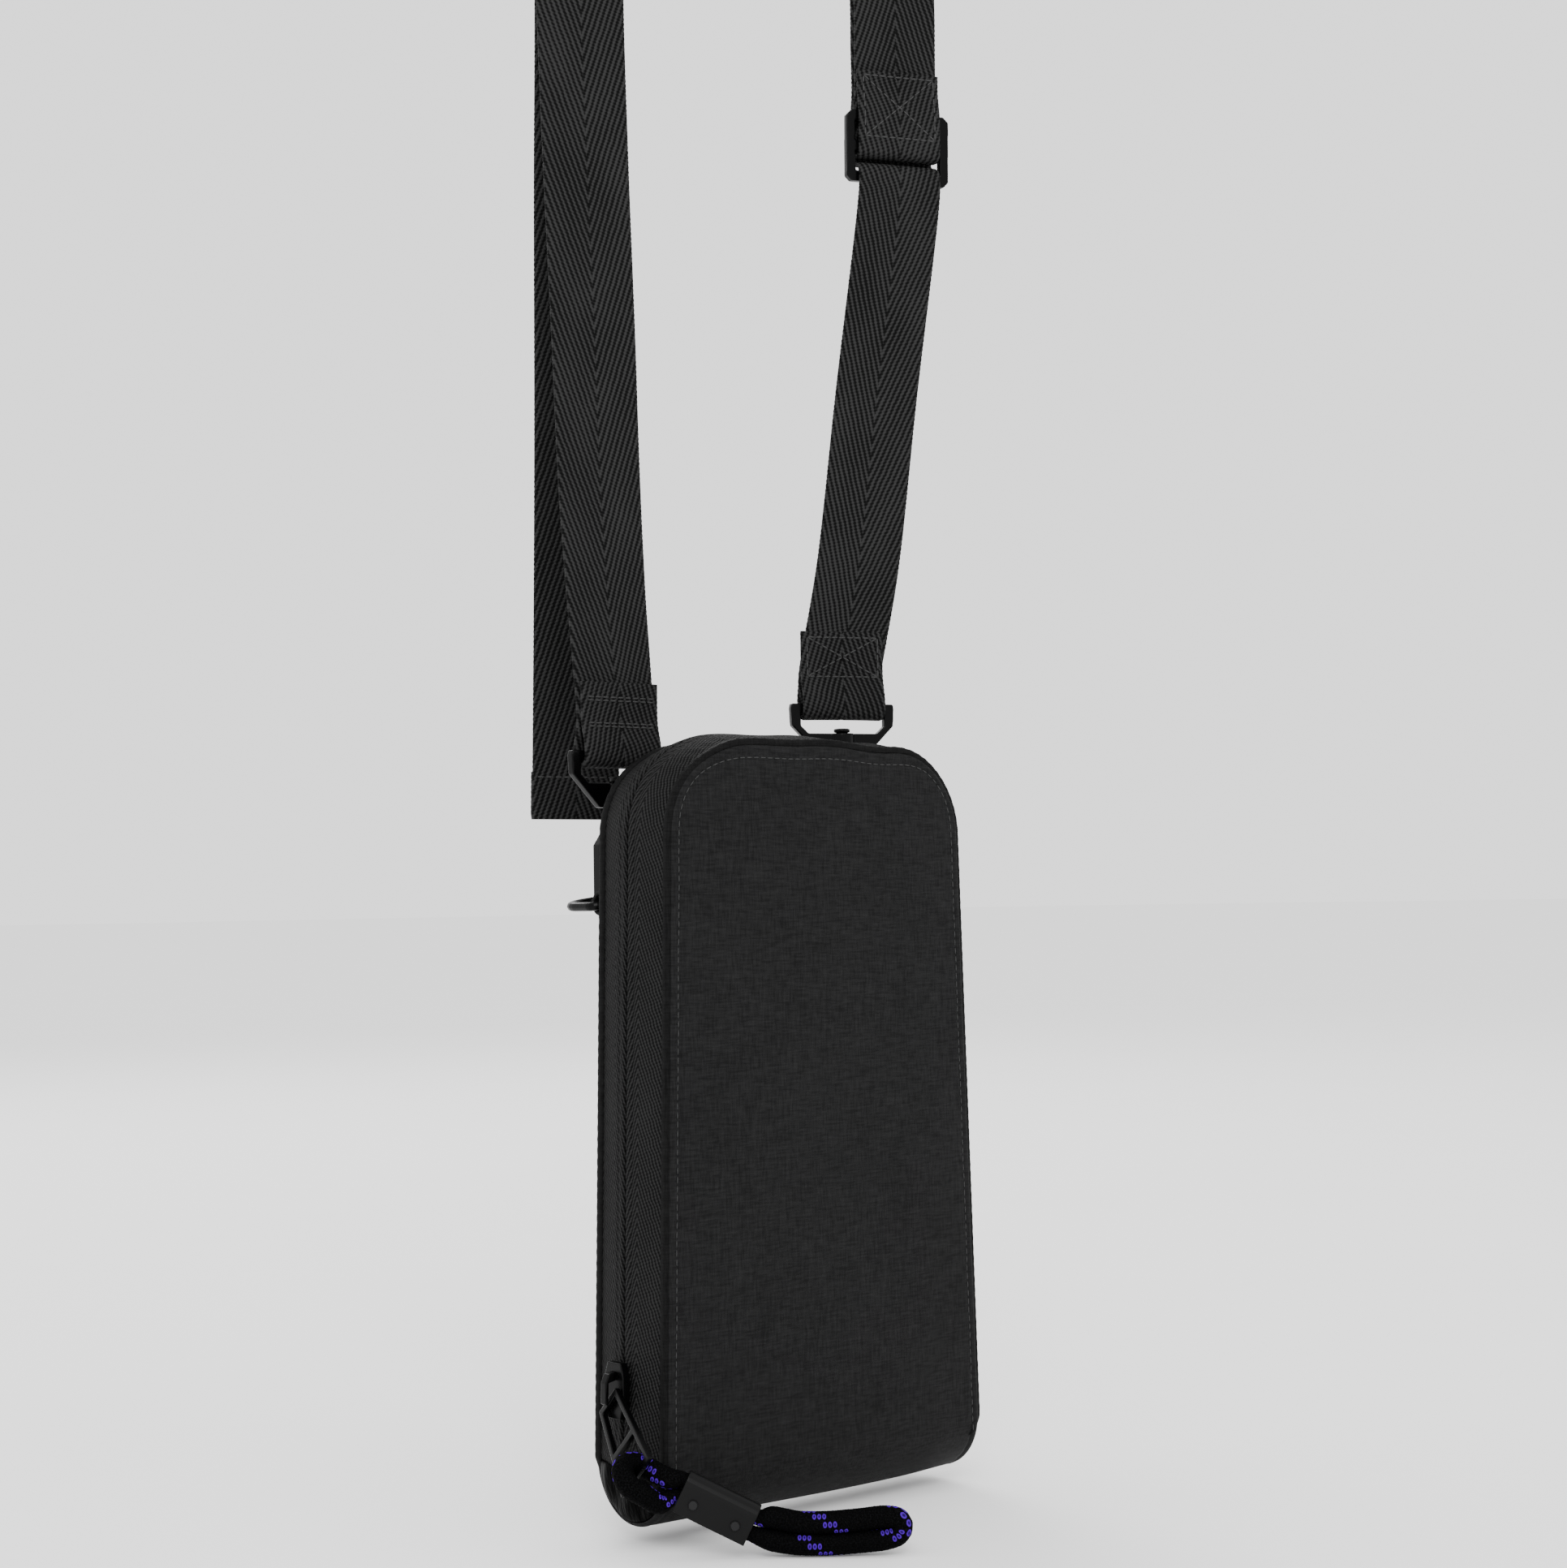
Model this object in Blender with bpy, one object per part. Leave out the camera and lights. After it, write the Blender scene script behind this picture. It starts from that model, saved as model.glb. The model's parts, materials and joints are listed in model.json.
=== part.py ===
"""Neck pouch wallet: a zip-round soft case on a neck strap, as separate solids.

Metres, +Z up, +X to the wearer's left hand as seen from the front, +Y towards the back.
Every piece is built in the pouch's own frame, where z = 0 is the lowest line of the pouch,
and hangs from the empty "strap_hang_point", which puts the origin inside the strap's arch.
"""

import math

import bmesh
import bpy
import numpy as np
from mathutils import Matrix, Vector

# Driving sizes of the pouch
HEIGHT = 0.200
BOTTOM_WIDTH = 0.110
TOP_WIDTH = 0.100
DEPTH = 0.031
TOP_CORNER = 0.025
FOLD_HEIGHT = 0.019

# Layers of the shell
GAP = 0.0003
PANEL_SHEET = 0.0012
BOARD_SHEET = 0.0012
LINING_SHEET = 0.0006
BINDING_SHEET = 0.0010
BINDING_LIP = 0.0003
SPINE_SHEET = 0.0015
BOARD_INSET = 0.0030
TAPE_SHEET = 0.0008
TAPE_BULGE = 0.0020
TAPE_PARTING = 0.0003
COIL_WIDTH = 0.0013
COIL_SHEET = 0.0012
POCKET_SHEET = 0.0007
BACK_POCKET_SHEET = 0.0012
BACK_POCKET_TOP = 0.151
INNER_POCKET_TOP = 0.120
CARD_SLOT_HEIGHT = 0.058
CARD_SLOT_STEP = 0.016
CARD_SLOT_COUNT = 3
CARD_WIDTH = 0.090
END_TAB_SHEET = 0.0008

# Zip slider, puller and cord
SLIDER_HEIGHT = 0.0348
SLIDER_CLEARANCE = 0.0006
SLIDER_LENGTH = 0.0140
SLIDER_WIDTH = 0.0080
SLIDER_SHEET = 0.0022
PIVOT_DROP = 0.0028
BRIDGE_WIDTH = 0.0022
BRIDGE_SHEET = 0.0010
PULLER_BAR = 0.0015
PULLER_SLACK = 0.0003
PULLER_TOP_HALF = 0.0042
PULLER_END_HALF = 0.0072
PULLER_REACH = Vector((-0.0035, -0.0156, -0.0153))
CORD_DIAMETER = 0.0055
CORD_IN_CLAMP = 0.72
CORD_RUN_HALF = 0.00215
CLAMP_LENGTH = 0.0195
CLAMP_HEIGHT = 0.0104
CLAMP_THICKNESS = 0.0062
CLAMP_SHEET = 0.0008
RIVET_SPACING = 0.0115
RIVET_RADIUS = 0.0013
RIVET_SHANK = 0.0006
RIVET_DROP = 0.0016

# Webbing strap, adjuster and hooks
WEBBING_WIDTH = 0.025
WEBBING_SHEET = 0.0014
SECOND_LAYER = 0.0030
ADJUSTER_WIDTH = 0.0316
ADJUSTER_HEIGHT = 0.0205
ADJUSTER_SHEET = 0.0025
ADJUSTER_BAR = 0.0030
SLOT_CLEARANCE = 0.0006
EYE_WIDTH = 0.031
EYE_SHEET = 0.0024
EYE_BAR_HALF = 0.00125
EYE_SLOT_DEPTH = 0.0073
EYE_DEPTH = 0.0140
HUB_RADIUS = 0.0036
PIN_RADIUS = 0.0014
PIN_CLEARANCE = 0.0003
HOOK_LENGTH = 0.0430
HOOK_SHEET = 0.0032
HOOK_INNER = 0.0045
HOOK_WIRE = 0.0030
GATE_SHEET = 0.0022
RING_WIRE = 0.0026
RING_WIDTH = 0.0124
RING_REACH = 0.0145
RING_ROLL = math.radians(8)
RING_HEIGHT = 0.158
TAB_WIDTH = 0.009
TAB_EYE = 0.0033
TAB_WALL = 0.0011

# Places of the two hooks on the back, and of the strap's top
LEFT_HOOK = Vector((-0.0357, DEPTH / 2 + 0.0110, 0.1975))
RIGHT_HOOK = Vector((0.0416, DEPTH / 2 + 0.0080, 0.2129))
LEFT_RING_X = LEFT_HOOK.x - 0.0077
RIGHT_RING_X = RIGHT_HOOK.x
STRAP_TURN = math.radians(-20)
RIGHT_RING_LIFT = math.radians(70.3)
ADJUSTER_PLACE = Vector((0.0535, 0.0086, 0.3744))
ADJUSTER_WAY = Vector((0.0016, -0.0019, 0.0331))
ARCH_TOP = 0.5020
ARCH_SPRING = 0.4520
ARCH_CENTRE = Vector((0.0116, 0.0246, 0.0))
ARCH_HALF = 0.0485
ARCH_TURN = math.radians(-22.4)
LEFT_FOLD = 0.0197
RIGHT_FOLD = 0.0220
ADJUSTER_FOLD = 0.0218

CIRCLE_STEPS = 16


def clear_scene():
    for old in list(bpy.data.objects):
        bpy.data.objects.remove(old, do_unlink=True)


clear_scene()
PARTS = bpy.data.collections.new("neck_pouch_wallet")
CUTTERS = bpy.data.collections.new("cutters")
CUTTERS.hide_render = True
bpy.context.scene.collection.children.link(PARTS)
bpy.context.scene.collection.children.link(CUTTERS)


def material(name, colour, roughness, metallic=0.0):
    made = bpy.data.materials.new(name)
    made.use_nodes = True
    shader = made.node_tree.nodes["Principled BSDF"]
    shader.inputs["Base Color"].default_value = (*colour, 1.0)
    shader.inputs["Roughness"].default_value = roughness
    shader.inputs["Metallic"].default_value = metallic
    return made


SHELL_FABRIC = material("shell_fabric", (0.021, 0.021, 0.022), 0.75)
LINING_FABRIC = material("lining_fabric", (0.035, 0.036, 0.040), 0.85)
FOAM_BOARD = material("foam_board", (0.060, 0.060, 0.065), 0.95)
ZIP_TAPE = material("zip_tape", (0.022, 0.022, 0.023), 0.80)
ZIP_COIL = material("zip_coil", (0.012, 0.012, 0.013), 0.45)
WEBBING = material("webbing", (0.020, 0.020, 0.021), 0.70)
BLACK_METAL = material("black_metal", (0.010, 0.010, 0.011), 0.32, 0.85)
CORD_BRAID = material("cord_braid", (0.012, 0.011, 0.022), 0.80)
COATED_TAB = material("coated_tab", (0.010, 0.010, 0.010), 0.30)


# Placing and making solids


FRAMES = {}


def settle(made, parent, matrix):
    """Parents an object; its matrix is given in the pouch's frame."""
    made.parent = parent
    made.matrix_local = FRAMES[parent.name].inverted() @ matrix


def empty(name, parent, matrix):
    made = bpy.data.objects.new(name, None)
    made.empty_display_size = 0.01
    PARTS.objects.link(made)
    FRAMES[name] = matrix
    settle(made, parent, matrix)
    return made


HANG_PLACE = Vector((ARCH_CENTRE.x, ARCH_CENTRE.y, ARCH_TOP - SECOND_LAYER - WEBBING_SHEET / 2))
HANG_POINT = bpy.data.objects.new("strap_hang_point", None)
HANG_POINT.location = -HANG_PLACE
FRAMES[HANG_POINT.name] = Matrix()
PARTS.objects.link(HANG_POINT)


def frame_of(origin, x_axis, z_axis):
    """The matrix whose Z runs along one direction and whose X runs near another."""
    z = Vector(z_axis).normalized()
    x = (Vector(x_axis) - z * z.dot(Vector(x_axis))).normalized()
    turned = Matrix((x, z.cross(x), z)).transposed().to_4x4()
    return Matrix.Translation(origin) @ turned


def place(made, finish, parent, matrix, smooth_angle=40):
    PARTS.objects.link(made)
    made.data.materials.append(finish)
    settle(made, parent, matrix)
    if made.type == "MESH":
        made.data.shade_smooth()
        made.data.set_sharp_from_angle(angle=math.radians(smooth_angle))
    return made


def outline_curve(name, loops, thickness):
    """A flat outline with holes, filled and given a thickness, as a curve object."""
    curve = bpy.data.curves.new(name, "CURVE")
    curve.dimensions = "2D"
    curve.fill_mode = "BOTH"
    curve.extrude = thickness / 2
    for loop in loops:
        spline = curve.splines.new("POLY")
        spline.points.add(len(loop) - 1)
        for point, (x, y) in zip(spline.points, loop):
            point.co = (x, y, 0.0, 1.0)
        spline.use_cyclic_u = True
    return bpy.data.objects.new(name, curve)


def mesh_copy(curve_object):
    """The curve object as a mesh object with its caps welded, the curve removed."""
    bpy.context.scene.collection.objects.link(curve_object)
    graph = bpy.context.evaluated_depsgraph_get()
    mesh = bpy.data.meshes.new_from_object(curve_object.evaluated_get(graph))
    name = curve_object.name
    bpy.data.objects.remove(curve_object, do_unlink=True)
    work = bmesh.new()
    work.from_mesh(mesh)
    bmesh.ops.remove_doubles(work, verts=work.verts, dist=1e-6)
    bmesh.ops.recalc_face_normals(work, faces=work.faces)
    work.to_mesh(mesh)
    work.free()
    mesh.name = name
    return bpy.data.objects.new(name, mesh)


def plate(name, loops, thickness, finish, parent, matrix):
    """A flat plate from 2D outlines; the outlines lie in the matrix's XY plane."""
    return place(mesh_copy(outline_curve(name, loops, thickness)), finish, parent, matrix)


def loft(name, rings, capped=True):
    """A closed solid through rings of equally many points, as a mesh object."""
    rings = np.asarray(rings, float)
    count, around = rings.shape[:2]
    mesh = bpy.data.meshes.new(name)
    first = np.arange(count - 1)[:, None] * around
    here = np.arange(around)[None, :]
    after = (here + 1) % around
    sides = np.stack([first + here, first + after, first + around + after, first + around + here], -1)
    faces = sides.reshape(-1, 4).tolist()
    if capped:
        faces.append(list(range(around - 1, -1, -1)))
        faces.append([(count - 1) * around + k for k in range(around)])
    mesh.from_pydata(rings.reshape(-1, 3).tolist(), [], faces)
    work = bmesh.new()
    work.from_mesh(mesh)
    bmesh.ops.recalc_face_normals(work, faces=work.faces)
    work.to_mesh(mesh)
    work.free()
    return bpy.data.objects.new(name, mesh)


def cylinder(name, radius, low, high, steps=CIRCLE_STEPS):
    """A cylinder about local Z from low to high, as a mesh object."""
    mesh = bpy.data.meshes.new(name)
    work = bmesh.new()
    middle = Matrix.Translation((0, 0, (low + high) / 2))
    bmesh.ops.create_cone(
        work,
        cap_ends=True,
        segments=steps,
        radius1=radius,
        radius2=radius,
        depth=high - low,
        matrix=middle,
    )
    work.to_mesh(mesh)
    work.free()
    return bpy.data.objects.new(name, mesh)


def combine(made, other, operation, matrix=None):
    """Joins or cuts a mesh object with another one that is kept as a hidden helper."""
    CUTTERS.objects.link(other)
    other.hide_render = True
    other.display_type = "WIRE"
    other.parent = made
    if matrix is not None:
        other.matrix_local = matrix
    step = made.modifiers.new(operation.lower(), "BOOLEAN")
    step.operation = operation
    step.object = other
    step.solver = "EXACT"


def arc(centre, radius, start, end, steps):
    """Points of an arc in a plane, from one angle to another in degrees."""
    angles = np.radians(np.linspace(start, end, steps + 1))
    return [(centre[0] + radius * math.cos(a), centre[1] + radius * math.sin(a)) for a in angles]


def smooth_path(points, per_span):
    """A centripetal curve through points, as an array with per_span steps in each span."""
    p = np.asarray(points, float)
    p = np.vstack([2 * p[0] - p[1], p, 2 * p[-1] - p[-2]])
    made = []
    for a, b, c, d in zip(p, p[1:], p[2:], p[3:]):
        spans = [max(np.linalg.norm(v - u), 1e-9) ** 0.5 for u, v in ((a, b), (b, c), (c, d))]
        knots = np.cumsum([0] + spans)
        t = np.linspace(knots[1], knots[2], per_span, endpoint=False)[:, None]
        t0, t1, t2, t3 = knots
        ab = (t1 - t) / (t1 - t0) * a + (t - t0) / (t1 - t0) * b
        bc = (t2 - t) / (t2 - t1) * b + (t - t1) / (t2 - t1) * c
        cd = (t3 - t) / (t3 - t2) * c + (t - t2) / (t3 - t2) * d
        abc = (t2 - t) / (t2 - t0) * ab + (t - t0) / (t2 - t0) * bc
        bcd = (t3 - t) / (t3 - t1) * bc + (t - t1) / (t3 - t1) * cd
        made.append((t2 - t) / (t2 - t1) * abc + (t - t1) / (t2 - t1) * bcd)
    return np.vstack(made + [p[-2:-1]])


# The pouch's outline: slanted sides, round top corners

SIDE_SLANT = math.atan((BOTTOM_WIDTH - TOP_WIDTH) / 2 / HEIGHT)
SIDE_REACH = BOTTOM_WIDTH / 2 * math.cos(SIDE_SLANT)
CORNER_HEIGHT = HEIGHT - TOP_CORNER
CORNER_X = (SIDE_REACH - TOP_CORNER - CORNER_HEIGHT * math.sin(SIDE_SLANT)) / math.cos(SIDE_SLANT)
CORNER_STEPS = 6


def half_width(z, inset=0.0):
    return (SIDE_REACH - inset - z * math.sin(SIDE_SLANT)) / math.cos(SIDE_SLANT)


def rim(inset, low):
    """Points (x, z) up the left side, over the top and down the right side."""
    right = arc((CORNER_X, CORNER_HEIGHT), TOP_CORNER - inset, math.degrees(SIDE_SLANT), 90, CORNER_STEPS)
    right = [(half_width(low, inset), low)] + right
    return [(-x, z) for x, z in right] + right[::-1]


def wall_plate(name, inset, low, high_y, thickness, finish, parent, top=None):
    """An upright plate with the pouch's outline; high_y is the plate's middle depth."""
    points = rim(inset, low)
    if top is not None:
        points = [
            (-half_width(low, inset), low),
            (-half_width(top, inset), top),
            (half_width(top, inset), top),
            (half_width(low, inset), low),
        ]
    upright = Matrix.Translation((0, high_y, 0)) @ Matrix.Rotation(math.pi / 2, 4, "X")
    return plate(name, [points], thickness, finish, parent, upright)


def rim_band(name, rows, thickness, low, finish, parent):
    """A band along the rim; rows are (y, inset) of its outer face, thickness goes inwards."""
    section = [(y, inset) for y, inset in rows] + [(y, inset + thickness) for y, inset in rows[::-1]]
    stations = [np.array(rim(inset, low)) for _, inset in section]
    rings = [
        [(stations[k][i, 0], section[k][0], stations[k][i, 1]) for k in range(len(section))]
        for i in range(len(stations[0]))
    ]
    return place(loft(name, rings), finish, parent, Matrix())


def bulge(y):
    """How far the zip tape's outer face stands inside the panel's edge at depth y."""
    edge = DEPTH / 2 - PANEL_SHEET - BOARD_SHEET - LINING_SHEET - 3 * GAP
    share = min(abs(y) / edge, 1.0)
    return -TAPE_BULGE + (TAPE_BULGE + 0.0006) * share**1.6


FACE = DEPTH / 2
PANEL_Y = FACE - PANEL_SHEET / 2
BOARD_Y = FACE - PANEL_SHEET - GAP - BOARD_SHEET / 2
LINING_Y = FACE - PANEL_SHEET - BOARD_SHEET - 2 * GAP - LINING_SHEET / 2
LINING_FACE = LINING_Y - LINING_SHEET / 2
TAPE_EDGE = LINING_FACE - GAP
WALL_LOW = FOLD_HEIGHT + GAP / 2
SPINE_HIGH = FOLD_HEIGHT - GAP / 2
PANEL_INSET = BINDING_SHEET + GAP


def shell_side(side, parent, sign):
    """One book cover of the pouch: panel, board, lining, binding, tape and coil."""
    wall_plate(f"{side}_panel", PANEL_INSET, WALL_LOW, sign * PANEL_Y, PANEL_SHEET, SHELL_FABRIC, parent)
    wall_plate(f"{side}_foam_board", BOARD_INSET, WALL_LOW, sign * BOARD_Y, BOARD_SHEET, FOAM_BOARD, parent)
    lining_inset = PANEL_INSET + GAP
    y = sign * LINING_Y
    wall_plate(f"{side}_lining", lining_inset, WALL_LOW, y, LINING_SHEET, LINING_FABRIC, parent)
    binding_rows = [(sign * (FACE - BINDING_LIP), 0.0), (sign * LINING_FACE, 0.0)]
    rim_band(f"{side}_edge_binding", binding_rows, BINDING_SHEET, WALL_LOW, SHELL_FABRIC, parent)
    depths = np.linspace(TAPE_EDGE, TAPE_PARTING, 4)
    tape_rows = [(sign * y, bulge(y)) for y in depths]
    rim_band(f"{side}_zip_tape", tape_rows, TAPE_SHEET, WALL_LOW, ZIP_TAPE, parent)
    under = bulge(COIL_WIDTH + TAPE_PARTING) + TAPE_SHEET + GAP
    coil_rows = [(sign * (TAPE_PARTING + COIL_WIDTH), under), (sign * TAPE_PARTING, under)]
    rim_band(f"{side}_zip_coil", coil_rows, COIL_SHEET, WALL_LOW, ZIP_COIL, parent)


def u_profile(radius, thickness, high):
    """The side view of the bottom fold: up one face, round the bottom, up the other."""
    outer = [(-radius, high)] + arc((0, FACE), radius, 180, 360, 14) + [(radius, high)]
    inner_radius = radius - thickness
    inner = [(inner_radius, high)] + arc((0, FACE), inner_radius, 360, 180, 14) + [(-inner_radius, high)]
    return outer + inner


def across(x):
    """A matrix that lays a plate's outline in the YZ plane at x."""
    return frame_of((x, 0, 0), (0, 1, 0), (1, 0, 0))


def bottom_fold(parent):
    length = 2 * half_width(FOLD_HEIGHT)
    plate("spine_panel", [u_profile(FACE, SPINE_SHEET, SPINE_HIGH)], length, SHELL_FABRIC, parent, across(0))
    inner = FACE - SPINE_SHEET - GAP
    lining_length = length - 4 * END_TAB_SHEET
    profile = u_profile(inner, LINING_SHEET, SPINE_HIGH)
    plate("spine_lining", [profile], lining_length, LINING_FABRIC, parent, across(0))
    tab_radius = inner - LINING_SHEET - GAP
    outline = [(-tab_radius, SPINE_HIGH)] + arc((0, FACE), tab_radius, 180, 360, 12)
    outline += [(tab_radius, SPINE_HIGH)]
    tab_x = lining_length / 2 - END_TAB_SHEET
    for side, x in (("left", -tab_x), ("right", tab_x)):
        plate(f"{side}_zip_end_tab", [outline], END_TAB_SHEET, COATED_TAB, parent, across(x))


def pockets(parent, cover):
    back_y = FACE + GAP + BACK_POCKET_SHEET / 2
    sheet, top = BACK_POCKET_SHEET, BACK_POCKET_TOP
    wall_plate("back_slip_pocket", BOARD_INSET, WALL_LOW, back_y, sheet, SHELL_FABRIC, parent, top)
    inner_y = -(LINING_FACE - GAP - POCKET_SHEET / 2)
    low = WALL_LOW + BOARD_INSET
    sheet, top = POCKET_SHEET, INNER_POCKET_TOP
    wall_plate("inner_slip_pocket", BOARD_INSET, low, inner_y, sheet, LINING_FABRIC, cover, top)
    for k in range(CARD_SLOT_COUNT):
        top = low + CARD_SLOT_HEIGHT + (CARD_SLOT_COUNT - 1 - k) * CARD_SLOT_STEP
        y = LINING_FACE - GAP - POCKET_SHEET / 2 - k * (POCKET_SHEET + GAP)
        half = CARD_WIDTH / 2
        outline = [(-half, low), (half, low), (half, top), (-half, top)]
        upright = Matrix.Translation((0, y, 0)) @ Matrix.Rotation(math.pi / 2, 4, "X")
        plate(f"card_slot_{k + 1}", [outline], POCKET_SHEET, LINING_FABRIC, parent, upright)


# Zip slider, puller, cord and clamp

UP_THE_SIDE = Vector((math.sin(SIDE_SLANT), 0, math.cos(SIDE_SLANT)))
OUT_OF_SIDE = Vector((-math.cos(SIDE_SLANT), 0, math.sin(SIDE_SLANT)))
ZIP_LINE = Vector((-half_width(SLIDER_HEIGHT, -TAPE_BULGE), 0, SLIDER_HEIGHT))
SLIDER_TOP = SLIDER_CLEARANCE + SLIDER_SHEET
PULLER_LIFT = SLIDER_TOP + PULLER_SLACK + PULLER_BAR / 2
PULLER_PIVOT = ZIP_LINE + OUT_OF_SIDE * PULLER_LIFT - UP_THE_SIDE * PIVOT_DROP
PULLER_END = PULLER_PIVOT + PULLER_REACH
PULLER_WAY = PULLER_REACH.normalized()
PULLER_AXIS = OUT_OF_SIDE.cross(PULLER_WAY).normalized()
PULLER_OUT = PULLER_WAY.cross(PULLER_AXIS).normalized()
CLAMP_WAY = Vector((0.687, -0.569, -0.451)).normalized()
CLAMP_UP = (Vector((0, 0, 1)) - CLAMP_WAY * CLAMP_WAY.z).normalized()
CLAMP_OUT = CLAMP_WAY.cross(CLAMP_UP).normalized()
CLAMP_START = PULLER_END + Vector((0.0095, -0.0059, -0.0038))
CLAMP_MIDDLE = CLAMP_START + CLAMP_WAY * CLAMP_LENGTH / 2


def slider(parent):
    """The slider's plate and its open-ended bridge; local X is up the side, Z is outwards."""
    here = frame_of(ZIP_LINE, UP_THE_SIDE, OUT_OF_SIDE)
    group = empty("zip_slider", parent, here)
    half_long, half_wide = SLIDER_LENGTH / 2, SLIDER_WIDTH / 2
    waist = half_wide * 0.7
    side = [(-half_long, waist), (-half_long * 0.4, half_wide)]
    side += [(half_long * 0.5, half_wide), (half_long, waist)]
    outline = side + [(x, -y) for x, y in side[::-1]]
    middle = Matrix.Translation((0, 0, SLIDER_TOP - SLIDER_SHEET / 2))
    plate("slider_body", [outline], SLIDER_SHEET, BLACK_METAL, group, here @ middle)
    foot = SLIDER_TOP + GAP / 2
    roof = foot + PULLER_BAR + 2 * PULLER_SLACK
    crown = roof + BRIDGE_SHEET
    tip = -PIVOT_DROP - PULLER_BAR / 2
    profile = [(tip, roof), (BRIDGE_WIDTH, roof), (BRIDGE_WIDTH * 1.2, foot), (BRIDGE_WIDTH * 2.2, foot)]
    profile += [(BRIDGE_WIDTH * 2, roof), (BRIDGE_WIDTH, crown), (tip + BRIDGE_SHEET / 2, crown)]
    side_on = frame_of((0, 0, 0), (1, 0, 0), (0, -1, 0))
    plate("slider_bridge", [profile], BRIDGE_WIDTH, BLACK_METAL, group, here @ side_on)
    return group


def puller(parent):
    """A tapered ladder frame: top bar in the bridge, crossbar, end bar in the cord's loop."""
    length = PULLER_REACH.length
    bar = PULLER_BAR
    here = frame_of(PULLER_PIVOT, PULLER_WAY, PULLER_OUT)
    group = empty("puller_hinge", parent, here)
    cross_high = length - CORD_DIAMETER - 2 * bar
    lean = (PULLER_END_HALF - PULLER_TOP_HALF) / length

    def trapezoid(low, high, margin):
        ends = [(x, PULLER_TOP_HALF + lean * x + margin) for x in (low, high)]
        return ends + [(x, -y) for x, y in ends[::-1]]

    loops = [
        trapezoid(-bar / 2, length + bar / 2, bar / 2),
        trapezoid(bar / 2, cross_high - bar, -bar / 2),
        trapezoid(cross_high, length - bar / 2, -bar / 2),
    ]
    plate("zip_puller", loops, bar, BLACK_METAL, group, here)
    return group


# The cord's route in millimetres. Round the puller's end bar: inwards, along the puller,
# across it. In front of the pouch: away from the clamp along the ground, and up.
TURN_STEPS = [
    (7.4, 2.9, 2.7),
    (5.2, 0.2, 1.3),
    (3.5, -3.1, 0.3),
    (0.0, -4.7, 0.0),
    (-3.4, -3.4, 0.0),
    (-4.7, 0.0, 0.0),
    (-3.6, 3.7, -0.3),
    (0.0, 5.5, -0.8),
    (5.2, 7.0, -1.8),
]
TURN_SQUEEZE = 0.92
LOOP_WAY = Vector((0.7706, -0.6373, 0.0))
LOOP_LOWER = [(4.6, -3.1), (11.0, -3.4), (18.0, -3.4), (26.0, -3.4), (32.5, -3.3)]
LOOP_END = [(34.7, -2.4), (35.6, -0.4), (34.7, 1.6)]
LOOP_UPPER = [(32.5, 2.5), (26.0, 2.4), (18.0, 2.4), (11.0, 2.4), (4.8, 2.7)]
CORD_STEPS = 3
STRAP_STEPS = 3
MM = 0.001


def cord_points():
    """(point, radius share) along the cord, from the clamp's middle and back to it."""
    up_axis = PULLER_AXIS if PULLER_AXIS.z > 0 else -PULLER_AXIS
    half = CLAMP_LENGTH / 2
    mouth = half + 3 * GAP

    def in_clamp(along, up):
        return CLAMP_MIDDLE + CLAMP_WAY * along + CLAMP_UP * up, CORD_IN_CLAMP

    points = [in_clamp(x, CORD_RUN_HALF) for x in (-GAP, -half / 2, -mouth)]
    for a, b, c in TURN_STEPS:
        share = TURN_SQUEEZE if (a, b, c) in (TURN_STEPS[0], TURN_STEPS[-1]) else 1.0
        points.append((PULLER_END + (PULLER_WAY * b + up_axis * c - PULLER_OUT * a) * MM, share))
    points += [in_clamp(x, -CORD_RUN_HALF) for x in (-mouth, -half / 2, 0, half / 2, mouth)]
    base = CLAMP_START + CLAMP_WAY * CLAMP_LENGTH
    for along, up in LOOP_LOWER + LOOP_END + LOOP_UPPER:
        points.append((base + LOOP_WAY * along * MM + Vector((0, 0, up * MM)), 1.0))
    points += [in_clamp(x, CORD_RUN_HALF) for x in (mouth, half / 2, GAP)]
    return points


def pull_cord(parent):
    chosen = cord_points()
    route = smooth_path([p for p, _ in chosen], CORD_STEPS)
    spots = np.arange(len(route)) / CORD_STEPS
    radii = np.interp(spots, np.arange(len(chosen)), [share for _, share in chosen])
    curve = bpy.data.curves.new("pull_cord", "CURVE")
    curve.dimensions = "3D"
    curve.bevel_depth = CORD_DIAMETER / 2
    curve.bevel_resolution = 2
    curve.use_fill_caps = True
    spline = curve.splines.new("POLY")
    spline.points.add(len(route) - 1)
    for point, spot, radius in zip(spline.points, route, radii):
        point.co = (*spot, 1.0)
        point.radius = radius
    place(bpy.data.objects.new("pull_cord", curve), CORD_BRAID, parent, Matrix())


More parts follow.
